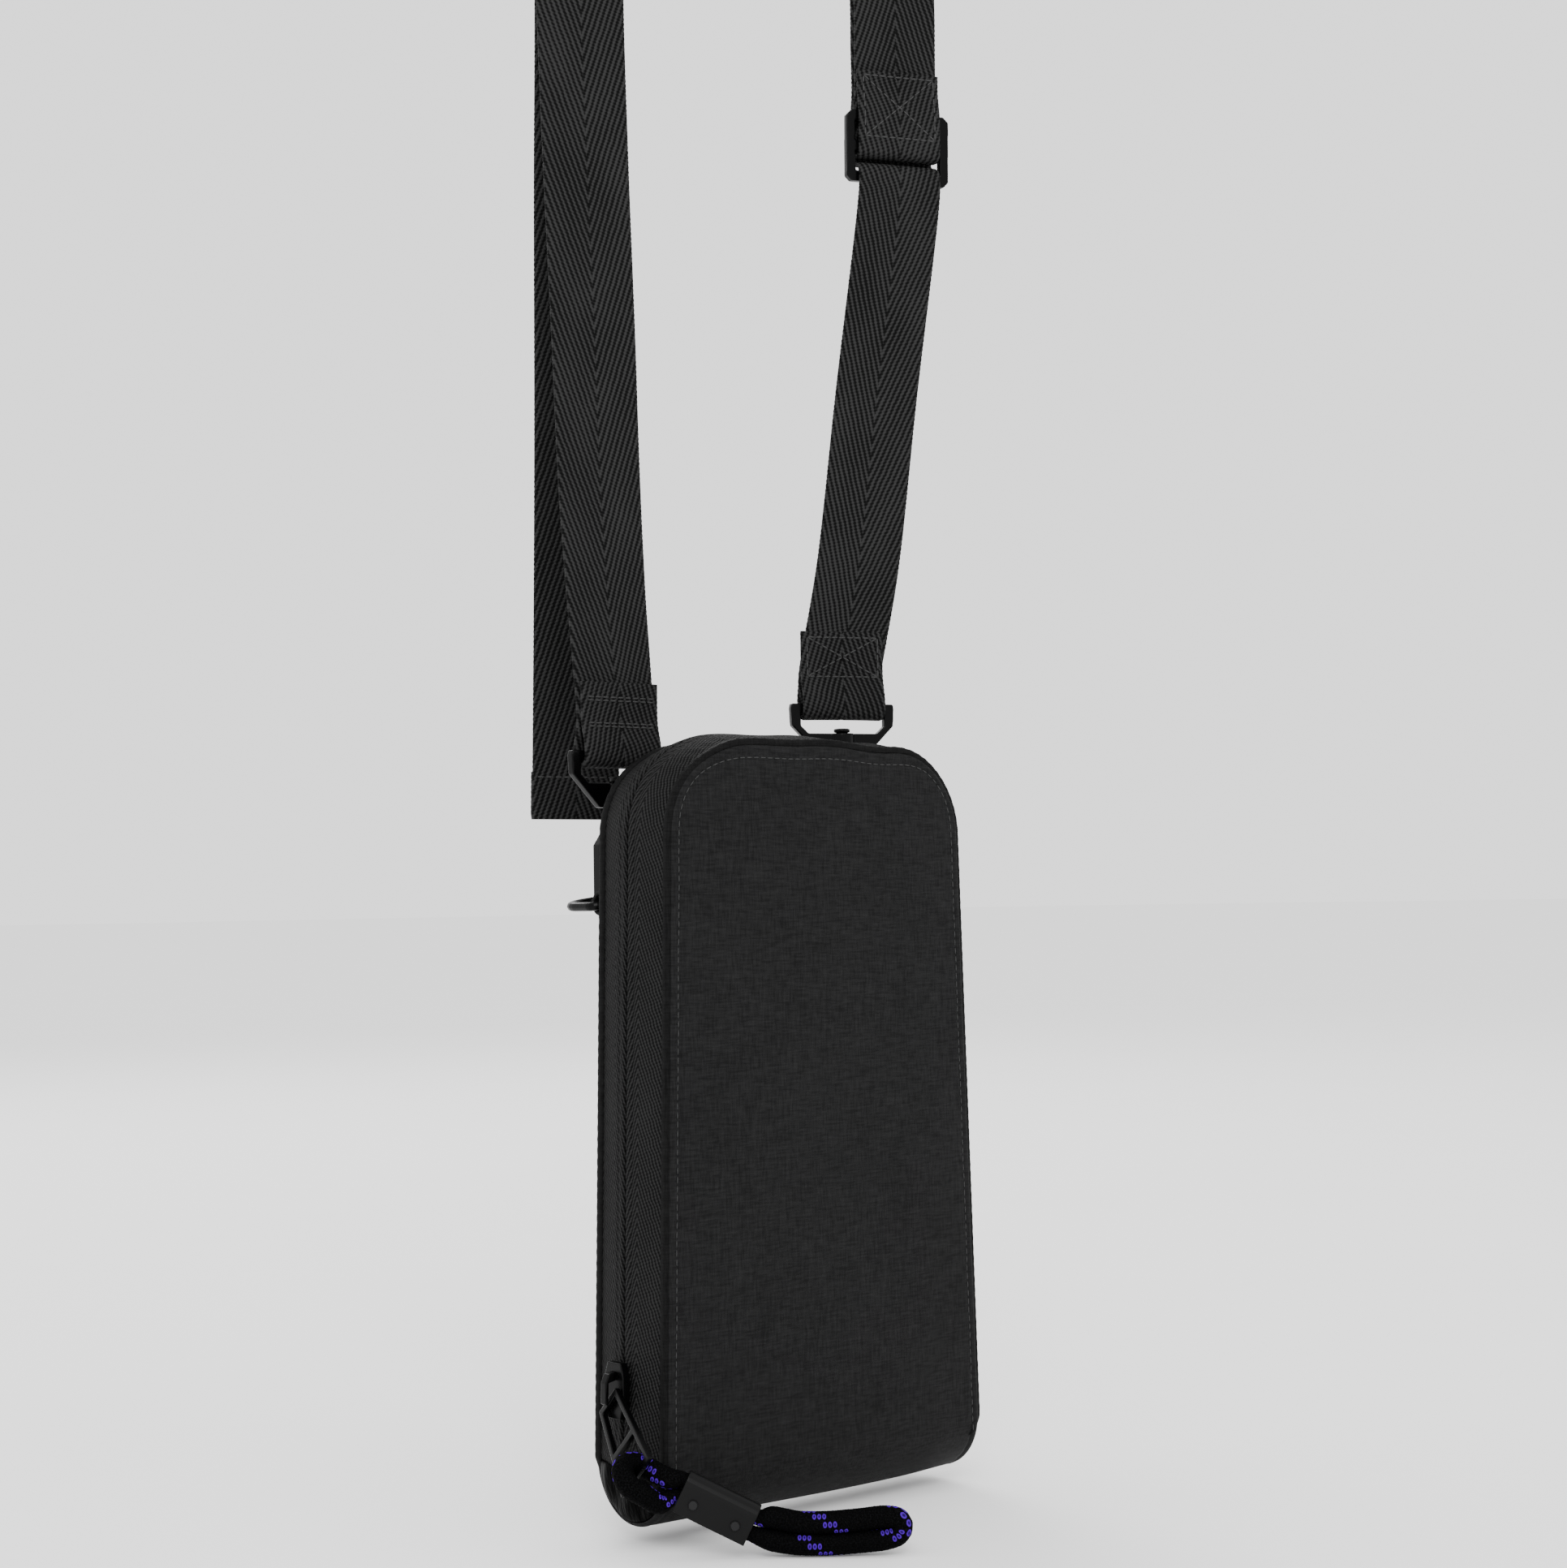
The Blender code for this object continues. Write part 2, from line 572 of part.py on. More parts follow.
def clamp(parent):
    """A plate folded over both runs of the cord, riveted through its front leg."""
    half_high, half_thick = CLAMP_HEIGHT / 2, CLAMP_THICKNESS / 2
    inner = half_thick - CLAMP_SHEET
    fold = half_high - half_thick
    profile = [(half_thick, -half_high)] + arc((0, fold), half_thick, 0, 180, 10)
    profile += [(-half_thick, -half_high), (-inner, -half_high)]
    profile += arc((0, fold), inner, 180, 0, 10) + [(inner, -half_high)]
    section = frame_of(CLAMP_MIDDLE, CLAMP_OUT, -CLAMP_WAY)
    made = plate("cord_clamp", [profile], CLAMP_LENGTH, BLACK_METAL, parent, section)
    head = [(RIVET_SHANK, -CLAMP_SHEET + GAP), (RIVET_SHANK, GAP)]
    head += [(RIVET_RADIUS, GAP), (RIVET_RADIUS * 0.8, 3 * GAP)]
    angles = np.linspace(0, 2 * math.pi, 12, endpoint=False)
    rings = [[(r * math.cos(a), r * math.sin(a), z) for a in angles] for r, z in head]
    for k, side in enumerate((-1, 1)):
        centre = CLAMP_MIDDLE + CLAMP_WAY * side * RIVET_SPACING / 2 + CLAMP_OUT * half_thick
        spot = frame_of(centre - CLAMP_UP * RIVET_DROP, CLAMP_WAY, CLAMP_OUT)
        hole = cylinder(f"rivet_hole_{k + 1}", RIVET_SHANK + GAP, -CLAMP_SHEET * 1.5, CLAMP_SHEET, 10)
        combine(made, hole, "DIFFERENCE", section.inverted() @ spot)
        place(loft(f"clamp_rivet_{k + 1}", rings), BLACK_METAL, parent, spot)


# Rings on the back and the hooks that hold them


def ring_tab(side, parent, x):
    """A sewn tab with an open eye for the ring's straight side; its tongue lies on the back."""
    centre = FACE + GAP + TAB_EYE
    low = BACK_POCKET_TOP + GAP
    tongue = FACE + GAP
    drop = math.degrees(math.acos((TAB_EYE - TAB_WALL) / TAB_EYE))
    eye = arc((centre, RING_HEIGHT), TAB_EYE, -180 + drop, 180, 18)
    hole = arc((centre, RING_HEIGHT), TAB_EYE - TAB_WALL, 0, 342, 19)
    loops = [[(tongue, low), (tongue + TAB_WALL, low)] + eye, hole]
    plate(f"{side}_ring_tab", loops, TAB_WIDTH, SHELL_FABRIC, parent, across(x))
    return Vector((x, centre, RING_HEIGHT))


def d_ring(side, parent, centre, lift, roll):
    """A wire ring with one straight side on local X, reaching out along local Y."""
    turn = Matrix.Rotation(lift, 4, "X") @ Matrix.Rotation(roll, 4, "Y")
    here = Matrix.Translation(centre) @ turn
    group = empty(f"{side}_ring_hinge", parent, here)
    half = RING_WIDTH / 2
    bend = RING_WIRE * 0.8
    path = arc((0, RING_REACH - half), half, 0, 180, 14)
    path += arc((-half + bend, bend), bend, 180, 270, 4) + arc((half - bend, bend), bend, -90, 0, 4)
    curve = bpy.data.curves.new(f"{side}_d_ring", "CURVE")
    curve.dimensions = "3D"
    curve.bevel_depth = RING_WIRE / 2
    curve.bevel_resolution = 2
    spline = curve.splines.new("POLY")
    spline.points.add(len(path) - 1)
    for point, (x, y) in zip(spline.points, path):
        point.co = (x, y, 0.0, 1.0)
    spline.use_cyclic_u = True
    place(bpy.data.objects.new(f"{side}_d_ring", curve), BLACK_METAL, group, here)


def upright(place_at, turn):
    """Local X across, turned about the vertical; local Y up; local Z to the front."""
    return frame_of(place_at, (math.cos(turn), math.sin(turn), 0), (math.sin(turn), -math.cos(turn), 0))


ALONG_Y = frame_of((0, 0, 0), (1, 0, 0), (0, 1, 0))
HUB_TOP = -EYE_SLOT_DEPTH
HUB_LOW = -EYE_DEPTH


def hook_eye(side, parent, here):
    """The strap's eye: a slotted plate on a hub with the swivel's bore."""
    half = EYE_WIDTH / 2
    slot = WEBBING_WIDTH / 2 + GAP
    waist = HUB_RADIUS * 1.9
    outer = [(half, EYE_BAR_HALF), (half + GAP, 0), (half, HUB_TOP * 0.7), (waist, HUB_LOW)]
    inner = [(slot, -EYE_BAR_HALF), (slot, HUB_TOP * 0.7), (slot * 0.82, HUB_TOP)]
    loops = [side_points + [(-x, y) for x, y in side_points[::-1]] for side_points in (outer, inner)]
    made = plate(f"{side}_hook_eye", loops, EYE_SHEET, BLACK_METAL, parent, here)
    combine(made, cylinder(f"{side}_hub", HUB_RADIUS, HUB_LOW, HUB_TOP), "UNION", ALONG_Y)
    bore = cylinder(f"{side}_bore", PIN_RADIUS + PIN_CLEARANCE, HUB_LOW * 1.2, HUB_TOP * 0.5)
    combine(made, bore, "DIFFERENCE", ALONG_Y)


GATE_PIVOT = (0.0059, -0.0262)
GATE_HALF = 0.0011
CROOK_Y = -HOOK_LENGTH + HOOK_INNER
TIP_Y = CROOK_Y + 0.0013


def hook(side, parent, here, turn):
    """The hook's J with its swivel pin and gate cheeks, and the gate, each on its own axis."""
    group = empty(f"{side}_hook_swivel", parent, here @ Matrix.Rotation(turn, 4, "Y"))
    frame = FRAMES[group.name]
    outer = HOOK_INNER + HOOK_WIRE
    collar = HUB_LOW - GAP
    points = [(-HUB_RADIUS, collar), (-HUB_RADIUS, collar - 0.004), (-outer, -0.024)]
    points += arc((0, CROOK_Y), outer, 180, 360, 14) + [(outer, TIP_Y), (HOOK_INNER, TIP_Y)]
    points += arc((0, CROOK_Y), HOOK_INNER, 360, 180, 12) + [(-HOOK_INNER, -0.026), (-0.0030, -0.0240)]
    points += [(0.0036, -0.0240), (0.0042, -0.0276), (outer, -0.0276), (outer, -0.0220)]
    points += [(HUB_RADIUS, collar - 0.004), (HUB_RADIUS, collar)]
    made = plate(f"{side}_hook_body", [points], HOOK_SHEET, BLACK_METAL, group, frame)
    pin = cylinder(f"{side}_pin", PIN_RADIUS, collar * 1.1, HUB_TOP + 2 * GAP)
    combine(made, pin, "UNION", ALONG_Y)
    head = cylinder(f"{side}_pin_head", PIN_RADIUS * 1.7, HUB_TOP + GAP, HUB_TOP + PIN_RADIUS)
    combine(made, head, "UNION", ALONG_Y)
    room_mesh = box_mesh((0.0032, -0.0290), (0.0090, -0.0243), GATE_SHEET / 2)
    combine(made, bpy.data.objects.new(f"{side}_gate_room", room_mesh), "DIFFERENCE")
    axle = cylinder(f"{side}_axle", GATE_HALF / 2, -HOOK_SHEET / 2 + GAP / 3, HOOK_SHEET / 2 - GAP / 3, 12)
    combine(made, axle, "UNION", Matrix.Translation((*GATE_PIVOT, 0)))

    gate_frame = frame @ Matrix.Translation((*GATE_PIVOT, 0))
    gate_group = empty(f"{side}_gate_hinge", group, gate_frame)
    low = TIP_Y + GAP - GATE_PIVOT[1]
    outline = arc((0, 0), GATE_HALF * 1.4, 0, 180, 10) + [(-GATE_HALF, low), (GATE_HALF * 1.4, low)]
    eye = arc((0, 0), GATE_HALF / 2 + GAP, 0, 330, 11)
    sheet = GATE_SHEET - 2 * GAP
    plate(f"{side}_hook_gate", [outline, eye], sheet, BLACK_METAL, gate_group, gate_frame)


def box_mesh(low, high, half_depth):
    """A box between two corners in the XY plane, reaching half_depth each way along Z."""
    mesh = bpy.data.meshes.new("box")
    work = bmesh.new()
    size = (high[0] - low[0], high[1] - low[1], 2 * half_depth)
    middle = Matrix.Translation(((low[0] + high[0]) / 2, (low[1] + high[1]) / 2, 0))
    bmesh.ops.create_cube(work, size=1.0, matrix=middle @ Matrix.Diagonal((*size, 1.0)))
    work.to_mesh(mesh)
    work.free()
    return mesh


def adjuster(parent):
    """The strap's adjuster: a plate with three bars."""
    half_wide, half_high = ADJUSTER_WIDTH / 2, ADJUSTER_HEIGHT / 2
    slot = WEBBING_WIDTH / 2 + SLOT_CLEARANCE
    corner = ADJUSTER_BAR / 2

    def rounded(wide, low, high, cut):
        return [
            (wide, low + cut),
            (wide, high - cut),
            (wide - cut, high),
            (cut - wide, high),
            (-wide, high - cut),
            (-wide, low + cut),
            (cut - wide, low),
            (wide - cut, low),
        ]

    near, far = ADJUSTER_BAR / 2, half_high - ADJUSTER_BAR
    loops = [rounded(half_wide, -half_high, half_high, corner)]
    loops += [rounded(slot, near, far, GAP), rounded(slot, -far, -near, GAP)]
    plate("strap_adjuster", loops, ADJUSTER_SHEET, BLACK_METAL, parent, ADJUSTER_FRAME)


# Webbing strap


def strap_width(turn):
    return Vector((math.cos(turn), math.sin(turn), 0))


ADJUSTER_FRONT = strap_width(STRAP_TURN).cross(ADJUSTER_WAY)
ADJUSTER_FRAME = frame_of(ADJUSTER_PLACE, strap_width(STRAP_TURN), ADJUSTER_FRONT)

# Each fold in millimetres: forward, up. The short sewn end is in front of the long one.
EYE_FOLD = [
    (0.95, 9.5),
    (1.5, 6.5),
    (2.3, 3.2),
    (2.5, 0.0),
    (2.0, -1.75),
    (0.75, -2.65),
    (-0.75, -2.65),
    (-2.0, -1.75),
    (-2.5, 0.0),
    (-2.3, 3.2),
    (-1.5, 6.5),
    (-0.95, 9.5),
]
ADJUSTER_WRAP = [
    (0.95, 17.0),
    (1.6, 13.5),
    (2.3, 10.0),
    (2.35, 5.0),
    (2.35, 0.0),
    (2.15, -1.85),
    (0.7, -2.7),
    (-0.7, -2.7),
    (-2.15, -1.85),
    (-2.35, 0.0),
    (-2.35, 5.0),
    (-2.3, 10.0),
    (-1.6, 13.5),
    (-0.95, 17.0),
]
ADJUSTER_PASS = [
    (2.4, -13.0),
    (2.4, -8.0),
    (1.7, -6.1),
    (0.0, -5.3),
    (-2.0, -4.9),
    (-3.6, -4.0),
    (-4.2, -1.8),
    (-4.2, 6.0),
    (-4.0, 11.0),
    (-3.3, 16.0),
]


def in_frame(frame, steps, end=None):
    """Points from (forward, up) steps in a frame; end adds the cut end of a fold."""
    chosen = list(steps)
    if end is not None:
        chosen = [(steps[0][0], end / MM)] + chosen
    return [frame @ Vector((0, up * MM, forward * MM)) for forward, up in chosen]


def arch(offset):
    """Centres and widths from the left riser over the neck to the right one."""
    along = strap_width(ARCH_TURN)
    up = Vector((0, 0, 1))
    centres, widths = [], []
    for degrees in range(180, -1, -9):
        angle = math.radians(degrees)
        rise = ARCH_TOP - ARCH_SPRING
        spot = ARCH_CENTRE + along * ARCH_HALF * math.cos(angle)
        spot += up * (ARCH_SPRING + rise * math.sin(angle))
        way = (along * ARCH_HALF * math.sin(angle) - up * rise * math.cos(angle)).normalized()
        twist = math.pi / 2 * math.sin(angle)
        inward = way.cross(along.cross(up))
        width = inward * math.cos(twist) + along.cross(up) * math.sin(twist)
        face = way.cross(width)
        centres.append(spot + face * offset)
        widths.append(width)
    return centres, widths


def ribbon(name, centres, widths, parent):
    """Flat webbing through centre points, each with its own width direction."""
    centres = smooth_path([tuple(c) for c in centres], STRAP_STEPS)
    spots = np.arange(len(centres)) / STRAP_STEPS
    given = np.array([tuple(w) for w in widths])
    widths = np.stack([np.interp(spots, np.arange(len(given)), column) for column in given.T], axis=1)
    steps = np.diff(centres, axis=0)
    steps /= np.linalg.norm(steps, axis=1)[:, None]
    ways = np.vstack([steps[:1], steps[:-1] + steps[1:], steps[-1:]])
    ways /= np.linalg.norm(ways, axis=1)[:, None]
    widths -= (widths * ways).sum(1)[:, None] * ways
    widths /= np.linalg.norm(widths, axis=1)[:, None]
    normals = np.cross(ways, widths)
    half, thick = WEBBING_WIDTH / 2, WEBBING_SHEET / 2
    corners = [(1, 1), (1, -1), (-1, -1), (-1, 1)]
    rings = np.stack([centres + widths * half * a + normals * thick * b for a, b in corners], axis=1)
    place(loft(name, rings), WEBBING, parent, Matrix(), 60)


LEFT_RISE = [(-0.0364, 0.0284, 0.2165), (-0.0357, 0.0312, 0.2444), (-0.0346, 0.0349, 0.2716)]
LEFT_RISE += [(-0.0334, 0.0386, 0.3173), (-0.0329, 0.0417, 0.3635), (-0.0332, 0.0431, 0.4096)]
RIGHT_RISE = [(0.0449, 0.0191, 0.2532), (0.0495, 0.0149, 0.3026)]
TAIL_DROP = [(-0.0304, 0.0480, 0.4117), (-0.0290, 0.0515, 0.3600), (-0.0280, 0.0543, 0.2900)]
TAIL_DROP += [(-0.0274, 0.0569, 0.2294), (-0.0271, 0.0590, 0.1816)]


def straps(parent):
    """The long strap with its tail lying behind it over the neck and down the left."""
    left_eye = upright(LEFT_HOOK, 0)
    right_eye = upright(RIGHT_HOOK, STRAP_TURN)
    left_width, side_width = strap_width(0), strap_width(STRAP_TURN)
    tops, top_widths = arch(0)
    fold = in_frame(left_eye, EYE_FOLD, LEFT_FOLD)
    wrap = in_frame(ADJUSTER_FRAME, ADJUSTER_WRAP, ADJUSTER_FOLD)[::-1]
    joined = in_frame(ADJUSTER_FRAME, [(-0.95, up) for up in (52.0, 37.0, 30.0)])
    turn_in = [strap_width(STRAP_TURN * k / 5) for k in range(6)]
    ribbon(
        "neck_strap_main",
        fold + [Vector(p) for p in LEFT_RISE[1:]] + tops + joined + wrap,
        [left_width] * len(fold) + turn_in[1:] + top_widths + [-side_width] * (len(joined) + len(wrap)),
        parent,
    )
    under, under_widths = arch(SECOND_LAYER)
    fold = in_frame(right_eye, EYE_FOLD, RIGHT_FOLD)
    passing = in_frame(ADJUSTER_FRAME, ADJUSTER_PASS)
    behind = in_frame(ADJUSTER_FRAME, [(-0.95 - SECOND_LAYER / MM, up) for up in (30.0, 37.0, 52.0)])
    risen = fold + [Vector(p) for p in RIGHT_RISE] + passing + behind
    ribbon(
        "neck_strap_tail",
        [Vector(p) for p in TAIL_DROP[::-1]] + under + risen[::-1],
        [side_width] * len(TAIL_DROP) + under_widths + [-side_width] * len(risen),
        parent,
    )


def main():
    root = HANG_POINT
    shell_side("back", root, 1)
    cover_frame = Matrix.Translation((0, -FACE, FOLD_HEIGHT))
    cover = empty("front_cover_hinge", root, cover_frame)
    shell_side("front", cover, -1)
    bottom_fold(root)
    pockets(root, cover)
    zip_group = slider(root)
    pull_group = puller(zip_group)
    cord_group = empty("cord_hinge", pull_group, Matrix.Translation(PULLER_END))
    pull_cord(cord_group)
    clamp(cord_group)
    left_centre = ring_tab("left", root, LEFT_RING_X)
    right_centre = ring_tab("right", root, RIGHT_RING_X)
    d_ring("left", root, left_centre, 0, -RING_ROLL)
    d_ring("right", root, right_centre, RIGHT_RING_LIFT, 0)
    left_eye = upright(LEFT_HOOK, 0)
    right_eye = upright(RIGHT_HOOK, STRAP_TURN)
    hook_eye("left", root, left_eye)
    hook_eye("right", root, right_eye)
    hook("left", root, left_eye, 0)
    hook("right", root, right_eye, math.pi / 2 - STRAP_TURN)
    adjuster(root)
    straps(root)


main()
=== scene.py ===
# %% [markdown]
# # A zip-round neck pouch
#
# The pouch is a slim upright case of coated cloth. A zip runs up one side, over the top and
# down the other, and a webbing strap hooks onto two rings on its back. The hard frame of the
# model is already there, as one plain solid for each piece, and this lesson dresses it: soft
# pieces are rebuilt as curved cloth, metal gets rounded edges, and each surface gets its weave.
#
# The first cell loads the frame.

import json
import math

import bmesh
import bpy
import numpy as np
from mathutils import Matrix, Vector


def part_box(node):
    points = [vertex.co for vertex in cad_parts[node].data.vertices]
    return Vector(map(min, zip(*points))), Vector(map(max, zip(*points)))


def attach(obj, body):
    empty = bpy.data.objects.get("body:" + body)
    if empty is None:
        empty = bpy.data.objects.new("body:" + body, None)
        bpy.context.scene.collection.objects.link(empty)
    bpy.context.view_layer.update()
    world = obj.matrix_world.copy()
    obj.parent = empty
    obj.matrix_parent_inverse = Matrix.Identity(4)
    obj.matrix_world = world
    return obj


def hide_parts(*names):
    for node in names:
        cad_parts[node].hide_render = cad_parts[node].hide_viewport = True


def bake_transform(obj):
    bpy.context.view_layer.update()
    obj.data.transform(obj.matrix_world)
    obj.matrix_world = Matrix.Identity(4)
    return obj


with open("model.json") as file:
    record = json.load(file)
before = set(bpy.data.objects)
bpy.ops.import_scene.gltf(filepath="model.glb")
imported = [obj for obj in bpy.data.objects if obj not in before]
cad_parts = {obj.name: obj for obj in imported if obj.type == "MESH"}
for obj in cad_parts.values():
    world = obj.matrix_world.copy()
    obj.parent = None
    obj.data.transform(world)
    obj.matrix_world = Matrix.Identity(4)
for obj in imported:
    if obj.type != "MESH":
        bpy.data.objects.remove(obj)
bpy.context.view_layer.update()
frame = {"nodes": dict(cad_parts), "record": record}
MM = 0.001
print("pieces in the frame:", len(frame["nodes"]))

# %% [markdown]
# ## Where things are
#
# All lengths here are in the pouch's own frame: x = 0 is its centre line, y = 0 its middle
# depth and z = 0 its lowest line. The frame's origin is up in the strap's arch, so one offset,
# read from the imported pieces, takes a point from the pouch to the frame.

# %% The pouch's own frame
low_spine, high_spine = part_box("spine_panel")
ORIGIN = np.array([(low_spine.x + high_spine.x) / 2, (low_spine.y + high_spine.y) / 2, low_spine.z])
HEIGHT, BOTTOM_WIDTH, TOP_WIDTH, DEPTH, CORNER, FOLD = 0.200, 0.110, 0.100, 0.031, 0.025, 0.019
FACE = DEPTH / 2
SLANT = math.atan((BOTTOM_WIDTH - TOP_WIDTH) / 2 / HEIGHT)
CORNER_Z = HEIGHT - CORNER
CORNER_X = (BOTTOM_WIDTH / 2 * math.cos(SLANT) - CORNER - CORNER_Z * math.sin(SLANT)) / math.cos(SLANT)
print("the pouch's origin in the frame:", ORIGIN.round(4))


def half_width(z):
    """The slanted side's distance from the centre line: it falls evenly with height."""
    return BOTTOM_WIDTH / 2 - z * math.tan(SLANT)


# %% [markdown]
# ## Camera
#
# The pouch is seen from the front and its left, from a little below its middle, with a short
# telephoto lens. A camera's matrix holds three directions: right, up and backwards.

# %% Camera
RIGHT = Vector((0.7710, -0.6366, -0.0165))
AHEAD = Vector((0.6366, 0.7698, 0.0462)).normalized()
RIGHT = (RIGHT - AHEAD * RIGHT.dot(AHEAD)).normalized()
ABOVE = RIGHT.cross(AHEAD)
camera = bpy.data.objects.new("camera", bpy.data.cameras.new("camera"))
bpy.context.scene.collection.objects.link(camera)
camera.matrix_world = Matrix.Translation(Vector((-0.4416, -0.5341, 0.1573)) + Vector(ORIGIN)) @ Matrix(
    (RIGHT, ABOVE, -AHEAD)
).transposed().to_4x4()
camera.data.sensor_fit = "HORIZONTAL"
camera.data.sensor_width = 36.0
camera.data.lens = 59.0
camera.data.clip_start = 0.02
bpy.context.scene.camera = camera
print("camera at", tuple(round(v, 3) for v in camera.location))

# %% [markdown]
# ## Surfaces from arrays
#
# Every new piece is a grid of points worked out at once with numpy. A closed direction joins
# its last row to its first; open ends of a tube get a fan of faces round their middle point. A
# UV map in millimetres goes with the grid, so that a weave follows the cloth wherever it bends.


# %% Grid surfaces
def add_mesh(name, points, faces, uv=None):
    """Points, quads or triangles, and a UV pair for each point, as a smooth mesh object."""
    mesh = bpy.data.meshes.new(name)
    mesh.from_pydata((points + ORIGIN).tolist(), [], faces)
    if uv is not None:
        corners = np.empty(len(mesh.loops), np.int32)
        mesh.loops.foreach_get("vertex_index", corners)
        mesh.uv_layers.new(name="UVMap").data.foreach_set("uv", uv[corners].astype(np.float32).ravel())
    mesh.shade_smooth()
    made = bpy.data.objects.new(name, mesh)
    bpy.context.scene.collection.objects.link(made)
    return made


def face_out(made):
    """Turns the faces of a closed shell outwards."""
    work = bmesh.new()
    work.from_mesh(made.data)
    bmesh.ops.recalc_face_normals(work, faces=work.faces)
    work.to_mesh(made.data)
    work.free()
    return made


def quads(rows, columns, wrap_columns):
    """Corner numbers of a grid's faces, with the last column joined to the first or not."""
    r = np.arange(rows - 1)[:, None] * columns
    c = np.arange(columns if wrap_columns else columns - 1)[None, :]
    after = (c + 1) % columns
    return np.stack([r + c, r + after, r + columns + after, r + columns + c], -1).reshape(-1, 4)


def tube(name, rings, u, v, period=None):
    """Rings of points along a path, closed round and capped. UV: u round the ring, v along.
    Where the ring closes, the last face runs to u = period instead of back to the first u."""
    rows, columns = rings.shape[:2]
    points = np.concatenate([rings.reshape(-1, 3), rings[0].mean(0)[None], rings[-1].mean(0)[None]])
    faces = quads(rows, columns, True).tolist()
    k = np.arange(columns)
    after = (k + 1) % columns
    last = (rows - 1) * columns
    faces += np.stack([after, k, np.full(columns, rows * columns)], -1).tolist()
    faces += np.stack([last + k, last + after, np.full(columns, rows * columns + 1)], -1).tolist()
    uv = np.stack(np.broadcast_arrays(u[None, :], v[:, None]), -1).reshape(-1, 2)
    uv = np.concatenate([uv, [[u.mean(), v[0]], [u.mean(), v[-1]]]])
    made = add_mesh(name, points, faces, uv)
    if period is not None:
        layer = made.data.uv_layers[0].data
        values = np.empty(len(layer) * 2, np.float32)
        layer.foreach_get("uv", values)
        closing = 4 * np.arange(columns - 1, (rows - 1) * columns, columns)
        values.reshape(-1, 2)[np.concatenate([closing + 1, closing + 2]), 0] = period
        layer.foreach_set("uv", values)
    return face_out(made)


def cloth(name, grid, u, v, thickness, flip=False):
    """A sheet over a grid of points, given a thickness on its inner side by Solidify."""
    rows, columns = grid.shape[:2]
    faces = quads(rows, columns, False)
    faces = faces[:, ::-1] if flip else faces
    uv = np.stack(np.broadcast_arrays(u, v), -1).reshape(-1, 2)
    made = add_mesh(name, grid.reshape(-1, 3), faces.tolist(), uv)
    solid = made.modifiers.new("thickness", "SOLIDIFY")
    solid.thickness = thickness
    solid.offset = -1.0
    return made


def smooth_path(points, per_span):
    """A centripetal Catmull-Rom curve through points: knots grow with the root of the distance."""
    p = np.asarray(points, float)
    p = np.vstack([2 * p[0] - p[1], p, 2 * p[-1] - p[-2]])
    steps = np.maximum(np.linalg.norm(np.diff(p, axis=0), axis=1), 1e-9)
    knots = np.concatenate([[0], np.cumsum(steps**0.5)])
    a, b, c, d = p[:-3, None], p[1:-2, None], p[2:-1, None], p[3:, None]
    t0, t1, t2, t3 = (k[:, None, None] for k in (knots[:-3], knots[1:-2], knots[2:-1], knots[3:]))
    t = t1 + (t2 - t1) * (np.arange(per_span) / per_span)[None, :, None]
    ab = (t1 - t) / (t1 - t0) * a + (t - t0) / (t1 - t0) * b
    bc = (t2 - t) / (t2 - t1) * b + (t - t1) / (t2 - t1) * c
    cd = (t3 - t) / (t3 - t2) * c + (t - t2) / (t3 - t2) * d
    abc = (t2 - t) / (t2 - t0) * ab + (t - t0) / (t2 - t0) * bc
    bcd = (t3 - t) / (t3 - t1) * bc + (t - t1) / (t3 - t1) * cd
    made = (t2 - t) / (t2 - t1) * abc + (t - t1) / (t2 - t1) * bcd
    return np.vstack([made.reshape(-1, 3), p[-2:-1]])


def unit(vectors):
    """Vectors along the last axis, each divided by its own length."""
    return vectors / np.linalg.norm(vectors, axis=-1, keepdims=True)


def lengths_along(path):
    """The distance travelled along a path at each of its points."""
    return np.concatenate([[0], np.cumsum(np.linalg.norm(np.diff(path, axis=0), axis=1))])


def evenly(path, step, *others):
    """The path, and values given along it, resampled at an even step."""
    far = lengths_along(path)
    spots = np.linspace(0, far[-1], max(2, round(far[-1] / step) + 1))
    columns = [[np.interp(spots, far, c) for c in np.asarray(x).T] for x in (path, *others)]
    return spots, *[np.stack(each, -1) for each in columns]


print("surface helpers ready")

# %% [markdown]
# ## Shader maths
#
# Materials are networks of nodes. A small class wraps a socket, so that an expression such as
# `1 - mask * 0.4` adds the Math nodes by itself. One method makes every other node: its
# settings come first, then the values or links of its inputs.


# %% Shader maths
class Socket:
    """A number or colour flowing out of a node, with arithmetic that adds Math nodes."""

    def __init__(self, tree, socket):
        self.tree = tree
        self.socket = socket

    def node(self, kind, settings=None, out=0, **inputs):
        return add_node(self.tree, kind, settings, out, **inputs)

    def math(self, operation, other=None, third=None):
        values = [self, other, third]
        made = self.tree.nodes.new("ShaderNodeMath")
        made.operation = operation
        for slot_in, value in zip(made.inputs, values):
            put(self.tree, slot_in, value)
        return Socket(self.tree, made.outputs[0])

    def __add__(self, other):
        return self.math("ADD", other)

    __radd__ = __add__

    def __mul__(self, other):
        return self.math("MULTIPLY", other)

    __rmul__ = __mul__

    def __sub__(self, other):
        return self.math("SUBTRACT", other)

    def __rsub__(self, other):
        return (self * -1.0) + other

    def __truediv__(self, other):
        return self.math("DIVIDE", other)

    def __pow__(self, other):
        return self.math("POWER", other)

    def smooth(self, low, high):
        """0 below low, 1 above high, and an eased ramp between them."""
        settings = {"interpolation_type": "SMOOTHSTEP"}
        return self.node("ShaderNodeMapRange", settings, Value=self, From_Min=low, From_Max=high)


